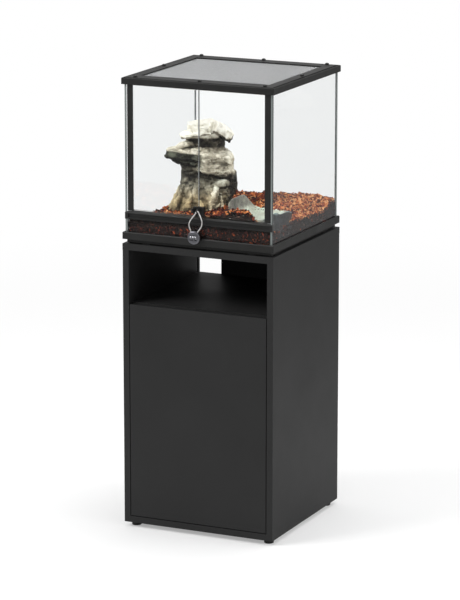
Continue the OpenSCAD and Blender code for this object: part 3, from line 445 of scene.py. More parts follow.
def facets(points, seed):
    """Cells about random centres c, each a plane tilted at random: h = n . (p - c)."""
    base = np.floor(points).astype(np.int64)
    nearest = np.full(len(points), np.inf)
    height = np.zeros(len(points))
    for step in np.ndindex(3, 3, 3):
        cell = base + np.array(step) - 1
        off = points - cell - np.stack([lattice(cell, seed + k) for k in range(3)], -1)
        tilt = np.stack([lattice(cell, seed + k) for k in range(3, 6)], -1) * 2 - 1
        distance = (off**2).sum(-1)
        nearer = distance < nearest
        nearest = np.where(nearer, distance, nearest)
        height = np.where(nearer, (tilt * off).sum(-1), height)
    return height


def smooth_step(x, low, high):
    """0 below low, 1 above high, and 3t^2 - 2t^3 between them."""
    t = np.clip((x - low) / (high - low), 0, 1)
    return t * t * (3 - 2 * t)


# ---------------------------------------------------------------- properties


class CabinetLooks(bpy.types.PropertyGroup):
    """Sizes and colours of the cabinet."""

    board_edge: length_property("Board edge", 0.0006, "Rounding of the boards' edge bands")
    board_colour: colour_property("Board", "#272727", "Colour of the melamine faces")
    fitting_edge: length_property("Fitting edge", 0.0003, "Rounding of hinges and pins")
    zinc_colour: colour_property("Zinc", "#a9abad", "Colour of the plated fittings")
    beech_colour: colour_property("Beech", "#c9a777", "Colour of the dowels")
    latch_colour: colour_property("Latch", "#cfcfcb", "Colour of the latch plunger")


class TankLooks(bpy.types.PropertyGroup):
    """Sizes and colours of the tank."""

    frame_edge: length_property("Frame edge", 0.0008, "Rounding of the moulded frames")
    frame_colour: colour_property("Frame", "#191918", "Colour of the moulded frames")
    rubber_colour: colour_property("Rubber", "#121212", "Colour of the pads")
    silicone_colour: colour_property("Silicone", "#6f7373", "Colour of the seams")
    small_edge: length_property("Small edge", 0.0003, "Rounding of the pads and lock eyes")
    pin_edge: length_property("Pin edge", 0.0002, "Rounding of the pivot pins")
    glass_edge: length_property("Glass edge", 0.0005, "Width of the arris on the panes")
    glass_colour: colour_property("Glass", "#feffff", "Tint of a pane")
    edge_colour: colour_property("Edge", "#7f8684", "Colour of the panes' ground edges")
    # The doors' free edges are ground glass, made dark grey as painted shade of the narrow gap
    # between the two doors.
    door_edge_shade_colour: colour_property("Door edge", "#2f3433", "Colour of the doors' free edges")


class LidLooks(bpy.types.PropertyGroup):
    """Sizes and colours of the lid."""

    mesh_pitch: length_property("Mesh pitch", 0.0026, "Distance between two wires")
    wire: length_property("Wire", 0.0005, "Diameter of a wire")
    wire_colour: colour_property("Wire", "#b9babb", "Colour of the steel wire")


class LockLooks(bpy.types.PropertyGroup):
    """Sizes and colours of the padlock."""

    body_edge: length_property("Body edge", 0.0004, "Rounding of the cast body")
    body_colour: colour_property("Body", "#84848a", "Colour of the cast body")
    cable_colour: colour_property("Cable", "#f2f0ee", "Colour of the steel cable")
    dial_colour: colour_property("Dials", "#a4a4a8", "Colour of the three dials")
    number_colour: colour_property("Numbers", "#1a1a1a", "Colour of the dials' numbers")
    number_size: length_property("Number size", 0.0027, "Height of a number")


class DecorLooks(bpy.types.PropertyGroup):
    """Sizes and colours of the substrate, the rock and the dish."""

    chips: IntProperty(name="Chips", description="Bark chips on the surface", default=13000,
                       min=100, max=14000)
    wall_chips: IntProperty(name="Chips at the glass", default=4200, min=100, max=9000,
                            description="Bark chips that press against the panes")
    chip_length: length_property("Chip length", 0.0086, "Middle length of a chip")
    rock_step: length_property("Rock step", 0.0014, "Size of the rock's mesh cells")


class StageLooks(bpy.types.PropertyGroup):
    """The floor and the lights."""

    floor_radius: length_property("Floor radius", 30.0, "Radius of the floor")
    floor_colour: colour_property("Floor", "#f2f2f2", "Colour of the floor")
    key_power: FloatProperty(name="Key", description="Power of the key light", default=150.0,
                             unit="POWER")
    side_power: FloatProperty(name="Side", description="Power of the light from the right",
                              default=60.0, unit="POWER")
    top_power: FloatProperty(name="Top", description="Power of the light from above",
                             default=60.0, unit="POWER")
    sky: FloatProperty(name="Sky", description="Strength of the light from all round",
                       default=0.5)
    mirrored: FloatProperty(name="Mirrored", default=0.32,
                            description="Strength of the surround in level reflections")


class TerrariumLooks(bpy.types.PropertyGroup):
    """Everything that a user may change."""

    cabinet: PointerProperty(type=CabinetLooks)
    tank: PointerProperty(type=TankLooks)
    lid: PointerProperty(type=LidLooks)
    lock: PointerProperty(type=LockLooks)
    decor: PointerProperty(type=DecorLooks)
    stage: PointerProperty(type=StageLooks)


# ---------------------------------------------------------------- operators


class TERRARIUM_OT_stage(bpy.types.Operator):
    """A pale floor, a white surround, soft lights and the camera"""

    bl_idname = "terrarium.stage"
    bl_label = "Stage"

    # Each light's name, the property of its power, its size, its place and what it looks at.
    LIGHTS = (
        ("key_box", "key_power", 2.2, (-2.6, -2.6, 3.4), (0, 0, 0.8)),
        ("side_box", "side_power", 2.4, (3.6, 0.4, 2.0), (0, 0, 0.7)),
        ("top_box", "top_power", 1.8, (0.3, 0.5, 3.6), (0, 0, 1.0)),
    )
    # The camera, solved from the photograph's straight edges.
    SENSOR, FOCAL = 36, 187.88  # millimetres, over the picture's height
    CLIP = (0.1, 100)
    CAMERA_PLACE = (3.1573, -6.7997, 2.2940)
    CAMERA_TURN = (76.9, 0, 24.95)  # degrees
    RINGS, SPOKES = 24, 64

    def floor(self, looks):
        """A disc of rings at radius R k^2, for k from 0 to 1. Its colour goes from a floor that
        takes shadows to plain white with distance."""
        rings = looks.floor_radius * np.linspace(0, 1, self.RINGS)[:, None] ** 2
        turn = np.linspace(0, 2 * np.pi, self.SPOKES, endpoint=False)
        points = np.stack([rings * np.cos(turn), rings * np.sin(turn),
                           np.zeros((self.RINGS, self.SPOKES))], -1)
        faces = strip_faces(self.RINGS, self.SPOKES, wrap_cols=True)
        floor = outward(new_piece("floor", points, faces))
        m = new_material("pale_floor")
        place = object_place(m)
        far = add(m, "ShaderNodeVectorMath", {0: place}, operation="LENGTH")
        share = add(m, "ShaderNodeMapRange", {"Value": far.outputs["Value"], "From Min": 0.5,
                    "From Max": 3.5, "To Min": 0.35, "To Max": 1.0},
                    interpolation_type="SMOOTHSTEP")
        path = add(m, "ShaderNodeLightPath").outputs
        seen = add(m, "ShaderNodeMath", {0: path["Is Camera Ray"], 1: path["Is Glossy Ray"]},
                   operation="ADD")
        seen = add(m, "ShaderNodeMath", {0: seen.outputs[0],
                   1: path["Is Transmission Ray"]}, operation="ADD", use_clamp=True)
        fac = add(m, "ShaderNodeMath", {0: seen.outputs[0], 1: share.outputs["Result"]},
                  operation="MULTIPLY")
        level = add(m, "ShaderNodeMapRange", {"Value": path["Glossy Depth"], "To Min": 1.0,
                    "To Max": looks.mirrored})
        paper = add(m, "ShaderNodeBsdfDiffuse", {"Color": looks.floor_colour})
        white = add(m, "ShaderNodeEmission", {"Color": (1, 1, 1, 1),
                    "Strength": level.outputs["Result"]})
        output(m, add(m, "ShaderNodeMixShader", {"Fac": fac.outputs[0], 1: paper.outputs[0],
                      2: white.outputs[0]}))
        floor.data.materials.append(m)

    def world(self, looks):
        """White to the camera and through glass, an even light of strength sky for surfaces,
        and the level mirrored in flat reflections, which rises to sky in steep ones."""
        world = bpy.data.worlds.new("studio")
        bpy.context.scene.world = world
        world.use_nodes = True
        world.node_tree.nodes.clear()
        path = add(world, "ShaderNodeLightPath").outputs
        through = add(world, "ShaderNodeMath", {0: path["Is Transmission Ray"],
                      1: path["Glossy Depth"]}, operation="SUBTRACT", use_clamp=True)
        seen = add(world, "ShaderNodeMath", {0: path["Is Camera Ray"],
                   1: through.outputs[0]}, operation="MAXIMUM")
        way = add(world, "ShaderNodeTexCoord").outputs["Generated"]
        rise = add(world, "ShaderNodeSeparateXYZ", {"Vector": way}).outputs["Z"]
        steep = add(world, "ShaderNodeMath", {0: rise}, operation="ABSOLUTE")
        mirror = add(world, "ShaderNodeMapRange", {"Value": steep.outputs[0],
                     "From Max": 0.6, "To Min": looks.mirrored, "To Max": looks.sky})
        unseen = add(world, "ShaderNodeMapRange", {"Value": path["Glossy Depth"],
                     "To Min": looks.sky, "To Max": mirror.outputs["Result"]})
        strength = add(world, "ShaderNodeMapRange", {"Value": seen.outputs[0],
                       "To Min": unseen.outputs["Result"], "To Max": 1.0})
        sky = add(world, "ShaderNodeBackground", {"Color": (1, 1, 1, 1),
                  "Strength": strength.outputs["Result"]})
        add(world, "ShaderNodeOutputWorld", {"Surface": sky.outputs[0]})

    def light(self, name, power, size, place, aim):
        """A square soft box that looks from place to aim."""
        lamp = bpy.data.lights.new(name, "AREA")
        lamp.energy = power
        lamp.size = size
        holder = bpy.data.objects.new(name, lamp)
        bpy.context.scene.collection.objects.link(holder)
        holder.location = place
        way = Vector(aim) - Vector(place)
        holder.rotation_euler = way.to_track_quat("-Z", "Y").to_euler()

    def camera(self, scene):
        """The photograph's view."""
        lens = bpy.data.cameras.new("photo_view")
        lens.sensor_fit = "VERTICAL"
        lens.sensor_height = lens.sensor_width = self.SENSOR
        lens.lens = self.FOCAL
        lens.clip_start, lens.clip_end = self.CLIP
        camera = bpy.data.objects.new("photo_view", lens)
        camera.location = self.CAMERA_PLACE
        camera.rotation_euler = np.radians(self.CAMERA_TURN)
        scene.collection.objects.link(camera)
        scene.camera = camera

    def execute(self, context):
        looks = context.scene.terrarium_looks.stage
        context.scene.view_settings.view_transform = "Standard"
        self.floor(looks)
        self.world(looks)
        for name, power, size, place, aim in self.LIGHTS:
            self.light(name, getattr(looks, power), size, place, aim)
        self.camera(context.scene)
        return {"FINISHED"}


class TERRARIUM_OT_boards(bpy.types.Operator):
    """The boards, the door and the inner shelf, with rounded edge bands"""

    bl_idname = "terrarium.boards"
    bl_label = "Boards"

    def execute(self, context):
        looks = context.scene.terrarium_looks.cabinet
        face = melamine(looks.board_colour)
        for node in ("side_board_left", "side_board_right", "top_board", "floor_board",
                     "niche_board", "back_board", "inner_shelf", "cabinet_door"):
            edged_copy(node, "melamine", face, looks.board_edge)
        return {"FINISHED"}


class TERRARIUM_OT_fittings(bpy.types.Operator):
    """Hinges, latch, pins, dowels and glides"""

    bl_idname = "terrarium.fittings"
    bl_label = "Fittings"

    def execute(self, context):
        looks = context.scene.terrarium_looks.cabinet
        tank = context.scene.terrarium_looks.tank
        zinc = plated_metal("zinc_plated_steel", looks.zinc_colour, roughness=0.34,
                            brush=0.0004)
        for node in ("hinge_arms", "hinge_plate_screws", "hinge_cups", "hinge_links",
                     "hinge_cup_screws", "strike_plate", "shelf_pins", "latch_spring"):
            edged_copy(node, "zinc", zinc, looks.fitting_edge if "spring" not in node else 0)
        edged_copy("dowels", "beech", beech_wood(looks.beech_colour), looks.fitting_edge * 2)
        glide = moulded_plastic("nylon_glide", tank.frame_colour, grain=0.0009, roughness=0.5)
        for node in ("glide_front_left", "glide_front_right", "glide_back_left",
                     "glide_back_right", "latch_housing"):
            edged_copy(node, "nylon", glide, looks.fitting_edge)
        edged_copy("latch_plunger", "acetal",
                   moulded_plastic("acetal_white", looks.latch_colour, grain=0.0006,
                                   roughness=0.35),
                   looks.fitting_edge)
        return {"FINISHED"}


class TERRARIUM_OT_frames(bpy.types.Operator):
    """The moulded frames, the sill, the pads and the silicone"""

    bl_idname = "terrarium.frames"
    bl_label = "Frames"

    def execute(self, context):
        looks = context.scene.terrarium_looks.tank
        plastic = moulded_plastic("abs_frame_black", looks.frame_colour, grain=0.0011,
                                  roughness=0.42)
        for node in ("base_frame", "door_sill", "top_frame", "lid_frame", "lid_studs",
                     "door_profile_left", "door_profile_right", "lock_eye_left",
                     "lock_eye_right"):
            edge = looks.small_edge if "eye" in node else looks.frame_edge
            edged_copy(node, "abs", plastic, edge)
        edged_copy("tank_pads", "rubber",
                   moulded_plastic("epdm_rubber", looks.rubber_colour, grain=0.0008,
                                   roughness=0.75),
                   looks.small_edge)
        dress("silicone_seams", silicone_rubber(looks.silicone_colour))
        return {"FINISHED"}


class TERRARIUM_OT_glass(bpy.types.Operator):
    """The panes, with the arris that a glazier grinds on each edge, and the pivot pins"""

    bl_idname = "terrarium.glass"
    bl_label = "Glass"

    def execute(self, context):
        looks = context.scene.terrarium_looks.tank
        glass = float_glass(looks.glass_colour)
        ground = ground_edge("ground_glass_edge", looks.edge_colour)
        # Painted shade: the doors' free edges get a dark grey for the shade in the gap between
        # the doors.
        door_edge_shaded = ground_edge("ground_door_edge", looks.door_edge_shade_colour)
        for node in ("glass_floor", "glass_left", "glass_right", "glass_back", "glass_strip",
                     "door_glass_left", "door_glass_right"):
            pane = edged_copy(node, "pane", glass, looks.glass_edge, segments=1)
            pane.data.materials.append(door_edge_shaded if "door" in node else ground)
            # A pane's two wide faces stay clear. The narrow ones are ground.
            widest = max(face.area for face in pane.data.polygons)
            for face in pane.data.polygons:
                face.material_index = int(face.area < widest / 2)
        steel = plated_metal("bright_zinc_pin",
                             context.scene.terrarium_looks.cabinet.zinc_colour,
                             roughness=0.28, brush=0.0004)
        for node in ("pivot_pins_left", "pivot_pins_right"):
            edged_copy(node, "steel", steel, looks.pin_edge)
        return {"FINISHED"}


class TERRARIUM_OT_lid_mesh(bpy.types.Operator):
    """Woven steel wire: two sets of wires that pass over and under each other"""

    bl_idname = "terrarium.lid_mesh"
    bl_label = "Lid mesh"

    def wires(self, name, along, across, pitch, wire, height, phase, swap):
        """Each wire is a square tube along x, or along y if swapped. At crossing i of wire j
        its middle is at z = height + (-1)^(i + j + phase) wire / 2."""
        xs = np.arange(along[0], along[1] + 1e-9, pitch)
        ys = np.arange(across[0], across[1] + 1e-9, pitch)
        i, j = np.meshgrid(np.arange(len(xs)), np.arange(len(ys)), indexing="xy")
        r = wire / 2
        z = height + np.where((i + j + phase) % 2 == 0, 1, -1) * r
        ring = np.array([[-r, 0], [0, -r], [r, 0], [0, r]])
        n, k = len(ys), len(xs)
        points = np.zeros((n, k, 4, 3))
        points[..., 0] = xs[None, :, None]
        points[..., 1] = ys[:, None, None] + ring[:, 0]
        points[..., 2] = z[..., None] + ring[:, 1]
        if swap:
            points = points[..., [1, 0, 2]]
        tube = strip_faces(k, 4, wrap_cols=True)
        faces = (tube[None] + (np.arange(n) * k * 4)[:, None, None]).reshape(-1, 4)
        start = (np.arange(n) * k * 4)[:, None] + np.arange(4)
        ends = np.concatenate([start[:, ::-1], start + (k - 1) * 4])
        faces = np.concatenate([faces, ends])
        if not swap:
            faces = faces[:, ::-1]
        return new_piece(name, points, faces)

    def execute(self, context):
        looks = context.scene.terrarium_looks.lid
        low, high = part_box("lid_mesh")
        height = (low.z + high.z) / 2
        steel = plated_metal("woven_steel_wire", looks.wire_colour, roughness=0.42,
                             brush=0.0004)
        spare = looks.wire
        weave = (("lid_mesh_warp", False, 0, 1), ("lid_mesh_weft", True, 1, 0))
        for name, swap, a, b in weave:
            piece = self.wires(name, (low[a] + spare, high[a] - spare),
                               (low[b] + spare, high[b] - spare), looks.mesh_pitch,
                               looks.wire, height, int(swap), swap)
            place_piece(piece, "lid", steel, ["lid_mesh"])
        return {"FINISHED"}


class TERRARIUM_OT_lock(bpy.types.Operator):
    """The padlock: body, number dials and stranded cable"""

    bl_idname = "terrarium.lock"
    bl_label = "Lock"

    # The cable's route as (across, up) from its eye, in millimetres, as in the CAD source.
    ROUTE = (
        (-17, -57), (-17, -52.5), (-18.2, -47), (-20.7, -41), (-21.8, -35), (-20.6, -28.5),
        (-16.8, -21.5), (-12, -15), (-7.5, -9.5), (-4.4, -5.2), (-2.8, -2.2), (-1.4, -0.5),
        (0, 0), (1.4, -0.5), (2.8, -2.2), (4.6, -5.6), (7.4, -11), (10.2, -17.5),
        (12.2, -24.5), (12, -31.5), (9.6, -38.5), (5.4, -44.5), (1.6, -49.5), (0.2, -53.5),
        (0.2, -57),
    )
    CABLE_R = 0.0014
    EYE_X = 0.0038  # where the cable passes the right door's eye
    STRANDS = 6
    LAY = 0.036  # length in which a strand goes once round
    GROOVE = 0.14  # depth between two strands, as a share of the radius
    CABLE_RINGS, CABLE_SIDES = 260, 36
    DIAL_SIDES = 160
    # A dial's section as (share of its half width, share of its radius), from bore to bore.
    DIAL_SECTION = ((-1, 0.27), (-1, 0.86), (-0.86, 0.97), (-0.6, 1), (0.6, 1), (0.86, 0.97),
                    (1, 0.86), (1, 0.27))
    INK = 0.00006  # half the thickness of a number
    EM = 1.35  # a font's size over the height of its numbers

    def cable(self, looks):
        """Radius r(a, s) = R (0.86 + 0.14 |cos(3 (a - 2 pi s / lay))|) at angle a and length s
        along a Catmull-Rom curve through the route."""
        low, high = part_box("padlock_cable")
        eye = np.array([self.EYE_X, (low.y + high.y) / 2, high.z - self.CABLE_R])
        knots = np.array([(x, 0, z) for x, z in self.ROUTE]) * MM + eye
        before = np.vstack([2 * knots[0] - knots[1], knots, 2 * knots[-1] - knots[-2]])
        t = np.linspace(0, len(knots) - 1 - 1e-9, self.CABLE_RINGS)
        k, f = t.astype(int), (t - t.astype(int))[:, None]
        p0, p1, p2, p3 = (before[k + n] for n in range(4))
        path = 0.5 * (2 * p1 + (p2 - p0) * f + (2 * p0 - 5 * p1 + 4 * p2 - p3) * f**2
                      + (3 * p1 - p0 - 3 * p2 + p3) * f**3)
        way = np.gradient(path, axis=0)
        way /= np.linalg.norm(way, axis=1)[:, None]
        side = np.array([0, 1, 0])
        across = np.cross(way, side)
        run = np.concatenate([[0], np.cumsum(np.linalg.norm(np.diff(path, axis=0), axis=1))])
        turn = np.linspace(0, 2 * np.pi, self.CABLE_SIDES, endpoint=False)
        twist = 2 * np.pi * run[:, None] / self.LAY
        lobes = np.abs(np.cos(self.STRANDS / 2 * (turn - twist)))
        r = self.CABLE_R * (1 - self.GROOVE + self.GROOVE * lobes)
        points = (path[:, None] + r[..., None] * (np.cos(turn)[:, None] * across[:, None]
                  + np.sin(turn)[:, None] * side))
        faces = strip_faces(len(path), self.CABLE_SIDES, wrap_cols=True)
        tube = new_piece("padlock_cable_strands", points, faces)
        bm = bmesh.new()
        bm.from_mesh(tube.data)
        bmesh.ops.holes_fill(bm, edges=[e for e in bm.edges if e.is_boundary], sides=0)
        bmesh.ops.recalc_face_normals(bm, faces=bm.faces)
        bm.to_mesh(tube.data)
        bm.free()
        steel = plated_metal("stranded_steel_cable", looks.cable_colour, roughness=0.48,
                             brush=0.0003)
        place_piece(tube, "padlock", steel, ["padlock_cable"])

    def dial(self, node, metal, ink, looks, first):
        """A bored ring of radius R (1 - 0.07 g), with a groove g between two numbers, where
        g is 1.2 - 6 |cos 5a| cut off below 0 and above 1."""
        low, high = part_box(node)
        centre = (low + high) / 2
        radius, half = (high.z - low.z) / 2, (high.x - low.x) / 2
        turn = np.linspace(0, 2 * np.pi, self.DIAL_SIDES, endpoint=False)
        groove = np.clip(1.2 - 6 * np.abs(np.cos(5 * turn)), 0, 1)
        across, share = np.array(self.DIAL_SECTION).T[:, :, None]
        r = radius * share * (1 - 0.07 * groove * (share > 0.5))
        rows = np.stack([centre.x + half * across + 0 * r, centre.y - r * np.cos(turn),
                         centre.z + r * np.sin(turn)], -1)
        ring = outward(new_piece(node + "_ring", rows,
                                 strip_faces(len(rows), self.DIAL_SIDES, True, True)))
        place_piece(ring, node, metal, [node])
        glyphs = bmesh.new()
        for number in range(10):
            curve = bpy.data.curves.new("number", "FONT")
            curve.body = str((number + first) % 10)
            curve.size = looks.number_size * self.EM
            curve.align_x, curve.align_y = "CENTER", "CENTER"
            curve.extrude = self.INK
            curve.resolution_u = 2
            text = bpy.data.objects.new("number", curve)
            bpy.context.scene.collection.objects.link(text)
            made = bpy.data.meshes.new_from_object(text.evaluated_get(
                bpy.context.evaluated_depsgraph_get()))
            bpy.data.objects.remove(text)
            co = np.zeros(len(made.vertices) * 3)
            made.vertices.foreach_get("co", co)
            co = co.reshape(-1, 3)
            angle = np.radians(36 * number) + co[:, 1] / radius
            r = radius + co[:, 2]
            placed = np.stack([centre.x + co[:, 0], centre.y - r * np.cos(angle),
                               centre.z + r * np.sin(angle)], -1)
            made.vertices.foreach_set("co", placed.ravel())
            glyphs.from_mesh(made)
            bpy.data.meshes.remove(made)
        mesh = bpy.data.meshes.new(node + "_numbers")
        glyphs.to_mesh(mesh)
        glyphs.free()
        numbers = bpy.data.objects.new(node + "_numbers", mesh)
        bpy.context.scene.collection.objects.link(numbers)
        place_piece(numbers, node, ink)

    def execute(self, context):
        looks = context.scene.terrarium_looks.lock
        cast = plated_metal("satin_chromed_zinc", looks.body_colour, roughness=0.3,
                            brush=0.0005)
        bright = plated_metal("bright_chromed_brass", looks.dial_colour, roughness=0.22,
                              brush=0.0005)
        ink = moulded_plastic("number_paint", looks.number_colour, grain=0.0004,
                              roughness=0.5)
        edged_copy("padlock_body", "cast", cast, looks.body_edge)
        edged_copy("padlock_axle", "steel", cast, 0)
        for first, node in enumerate(("dial_left", "dial_middle", "dial_right")):
            self.dial(node, bright, ink, looks, first * 3 + 1)
        self.cable(looks)
        return {"FINISHED"}


def soil_height(x, y):
    """Metres: 788 mm in the middle, 9 higher at the front, 9 lower at the rear, 7 higher at
    the right, falling at 27 degrees from 74 mm before the left pane, by 22 towards the right
    pane, less so at the rear corner, by 14 at the dish's right front and by 11 before the
    rock, with slow waves of 2.2 mm."""
    left = np.logaddexp(0, (-0.115 - x) / 0.008) * 0.008 * 0.5
    right = 0.022 * smooth_step(x, 0.142, 0.19) * (1 - 0.8 * smooth_step(y, 0.11, 0.182))
    hollow = 0.014 * smooth_step(x, 0.128, 0.142) * smooth_step(-y, 0.1, 0.14)
    hollow = hollow + 0.011 * smooth_step(-y, 0.085, 0.125) * (1 - smooth_step(x, 0.01, 0.06))
    wave = fractal(np.stack([x * 22, y * 22, 0 * x + 5.5], -1), 3, seed=40)
    return (0.7875 - 0.009 * y / 0.19 + 0.007 * smooth_step(x, -0.05, 0.12) - left - right
            - hollow + 0.0022 * wave)


class TERRARIUM_OT_substrate(bpy.types.Operator):
    """Soil between the panes, and bark chips on it and against the glass"""

    bl_idname = "terrarium.substrate"
    bl_label = "Substrate"

    ROWS, COLS = 150, 140
    ROOM = 0.0016  # kept free at the panes, which the chips against the glass fill
    DISH_WALL = 0.004  # how far the dish's walls overlap the soil and the chips round it
    # The rock's foot, which the chips keep clear of: an ellipse's middle and half widths.
    FOOT, FOOT_REACH = (-0.0652, -0.055), (0.079, 0.060)
    # A chip's width and thickness as shares of its length, the longest half length and the
    # most that a corner is pushed, as shares too, and the spread of a chip's tilt in radians.
    WIDTH, THICKNESS, LONGEST, PUSH = 0.55, 0.2, 0.9, 0.38
    LYING, PRESSED = 0.6, 1.2
    WALL_LENGTH = 0.8  # length of the chips at the glass as a share of the others'
    SIDES = (0.24, 0.25, 0.26, 0.25)  # shares of the chips at front, left, right and rear

    def soil(self, box, step_y, step_z):
        """For each x, a closed outline in y and z: floor, front, step under the sill, top.
        The top is soil_height plus 1.2 mm of grain, and is sunk inside the dish."""
        low, high = box
        xs = np.linspace(low.x + self.ROOM, high.x - self.ROOM, self.ROWS)
        back = np.linspace(step_y, high.y - self.ROOM, self.COLS)
        x, y = np.meshgrid(xs, back, indexing="ij")
        z = soil_height(x, y)
        dish_low, dish_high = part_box("water_dish")
        wall = self.DISH_WALL
        inside = ((x > dish_low.x + wall) & (x < dish_high.x - wall)
                  & (y > dish_low.y + wall) & (y < dish_high.y - wall))
        z = np.where(inside, dish_low.z + 0.01, z)
        grain = fractal(np.stack([x * 190, y * 190, 0 * z], -1), 2, seed=3)
        top = np.stack([x, y, z + 0.0012 * grain], -1)
        front, rear = low.y + self.ROOM, high.y - self.ROOM
        corners = [(rear, low.z), (front, low.z), (front, step_z), (step_y, step_z)]
        edge = np.array([[(x, y, z) for y, z in corners] for x in xs])
        points = np.concatenate([edge, top], 1)
        cols = points.shape[1]
        faces = strip_faces(self.ROWS, cols, wrap_cols=True).tolist()
        last = (self.ROWS - 1) * cols
        faces += [list(range(cols)), list(range(last, last + cols))]
        return outward(new_piece("soil", points, faces))

    def chips(self, name, centres, tilt, rng, length, material, tints):
        """Each chip is a box with pushed corners, turned at random about three axes:
        corner = turn * (size * sign * (1 + noise)), kept inside the panes."""
        n = len(centres)
        signs = np.array(list(np.ndindex(2, 2, 2)), float) * 2 - 1
        size = np.stack([length * rng.lognormal(0, 0.32, n),
                         length * self.WIDTH * rng.lognormal(0, 0.3, n),
                         length * self.THICKNESS * rng.uniform(0.7, 1.5, n)], -1) / 2
        size[:, 0] = np.minimum(size[:, 0], length * self.LONGEST)
        corner = signs[None] * size[:, None] * (1 + self.PUSH * rng.uniform(-1, 1, (n, 8, 3)))
        yaw = rng.uniform(0, 2 * np.pi, n)
        pitch = rng.normal(0, tilt, n)
        roll = rng.normal(0, tilt, n)
        c, s = np.cos, np.sin
        turn = np.stack([
            np.stack([c(yaw) * c(pitch), c(yaw) * s(pitch) * s(roll) - s(yaw) * c(roll),
                      c(yaw) * s(pitch) * c(roll) + s(yaw) * s(roll)], -1),
            np.stack([s(yaw) * c(pitch), s(yaw) * s(pitch) * s(roll) + c(yaw) * c(roll),
                      s(yaw) * s(pitch) * c(roll) - c(yaw) * s(roll)], -1),
            np.stack([-s(pitch), c(pitch) * s(roll), c(pitch) * c(roll)], -1)], 1)
        placed = np.einsum("nij,nkj->nki", turn, corner)
        reach = np.abs(placed).max(1)
        low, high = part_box("substrate")
        floor = np.array([low.x, low.y, low.z]) + reach
        ceiling = np.array([high.x, high.y, 1]) - reach
        placed += np.clip(centres, floor, ceiling)[:, None]
        quads = np.array([(0, 1, 3, 2), (4, 6, 7, 5), (0, 4, 5, 1), (2, 3, 7, 6), (0, 2, 6, 4),
                          (1, 5, 7, 3)])
        faces = (quads[None] + (np.arange(n) * 8)[:, None, None]).reshape(-1, 4)
        piece = new_piece(name, placed, faces, smooth=False)
        piece.data.attributes.new("tint", "FLOAT", "POINT").data.foreach_set(
            "value", np.repeat(tints, 8).astype(np.float32))
        place_piece(piece, "cabinet", material)

    def strewn(self, looks, rng, box, step_y):
        """Centres and tints of the chips on the soil. They keep clear of the rock's foot and
        of the dish, apart from a heap of 6 mm in the dish's front left corner. The tints are
        paler at the right rear, and paler on the chips that lie highest and darker on those
        that lie deepest, a painted shade between the chips."""
        low, high = box
        xy = rng.uniform((low.x, step_y), (high.x, high.y), (looks.chips * 2, 2))
        x, y = xy.T
        rx, ry = ((v - middle) / reach
                  for v, middle, reach in zip((x, y), self.FOOT, self.FOOT_REACH))
        dish_low, dish_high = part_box("water_dish")
        middle, half = (dish_low + dish_high) / 2, (dish_high - dish_low) / 2
        dx = (x - middle.x) / (half.x - self.DISH_WALL)
        dy = (y - middle.y) / (half.y - self.DISH_WALL)
        # The heap lies before a slanting line across that corner.
        heaped = (x - 0.062) - 1.1 * (-0.120 - y) < 0.012
        free = (rx**2 + ry**2 > 1) & ((np.maximum(np.abs(dx), np.abs(dy)) > 1) | heaped)
        xy = xy[free][:looks.chips]
        x, y = xy.T
        lift = rng.uniform(-0.004, 0.0045, len(xy))
        heap = (0.006 * smooth_step(x, 0.05, 0.08) * (1 - smooth_step(x, 0.11, 0.135))
                * smooth_step(-y, 0.13, 0.16))
        pale = 0.26 * smooth_step(x, 0.04, 0.14) * smooth_step(y, -0.15, -0.05)
        # Painted shade: chips that lie deeper are darker, those that lie higher paler.
        tints = np.clip(rng.beta(0.8, 1.4, len(xy)) * 0.85 + pale + lift * 60, 0, 1)
        return np.column_stack([x, y, soil_height(x, y) + lift + heap]), tints

    def pressed(self, looks, rng, box, step):
        """Centres and tints of the chips against each pane: dark ones, with red-brown flecks
        that are more frequent in the front strip and at its right. In the front strip they fill
        only the lower part, and the bare dark soil above them is painted shade under the sill."""
        low, high = box
        n = looks.wall_chips
        side = rng.choice(4, n, p=self.SIDES)
        front = side == 0
        u = rng.uniform(0, 1, n)
        x = np.select([side == 1, side == 2], [low.x, high.x], low.x + u * (high.x - low.x))
        y = np.select([front, side == 3], [low.y, high.y], low.y + u * (high.y - low.y))
        step_y, step_z = step
        top = np.where(front, step_z, soil_height(x, np.maximum(y, step_y)))
        # Painted shade: in the front strip the chips fill only the lower part, so the bare dark
        # soil above stands for the shade under the sill.
        chip_fill_under_sill_shade = np.where(front, 0.72 + 0.12 * smooth_step(x, -0.05, 0.1), 1)
        z = low.z + rng.uniform(0, 1, n) ** 0.8 * (top - low.z - 0.002) * chip_fill_under_sill_shade
        fleck = rng.random(n) < 0.07 + (0.11 + 0.12 * smooth_step(x, 0.0, 0.15)) * front
        tints = np.where(fleck, rng.uniform(0.3, 0.66, n), rng.uniform(0, 0.22, n))
        return np.column_stack([x, y, z]), tints

    def execute(self, context):
        looks = context.scene.terrarium_looks.decor
        rng = np.random.default_rng(7)
        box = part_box("substrate")
        sill_low, sill_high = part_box("door_sill")
        step_y, step_z = sill_high.y + 0.0005, sill_low.z - 0.0003
        place_piece(self.soil(box, step_y, step_z), "cabinet", soil_mix(
            [(0.0, "#080504"), (0.35, "#120b08"), (0.6, "#20140f"), (0.8, "#3a241b"),
             (1.0, "#5c4030")]), ["substrate"])
        chip = bark([
            (0.0, "#080403"), (0.25, "#1f0d0a"), (0.45, "#4c1a11"), (0.62, "#85371b"),
            (0.8, "#b5652f"), (1.0, "#d39a66")], spread=0.3)
        centres, tints = self.strewn(looks, rng, box, step_y)
        self.chips("bark_chips_top", centres, self.LYING, rng, looks.chip_length, chip, tints)
        centres, tints = self.pressed(looks, rng, box, (step_y, step_z))
        self.chips("bark_chips_glass", centres, self.PRESSED, rng,
                   looks.chip_length * self.WALL_LENGTH, chip, tints)
        return {"FINISHED"}


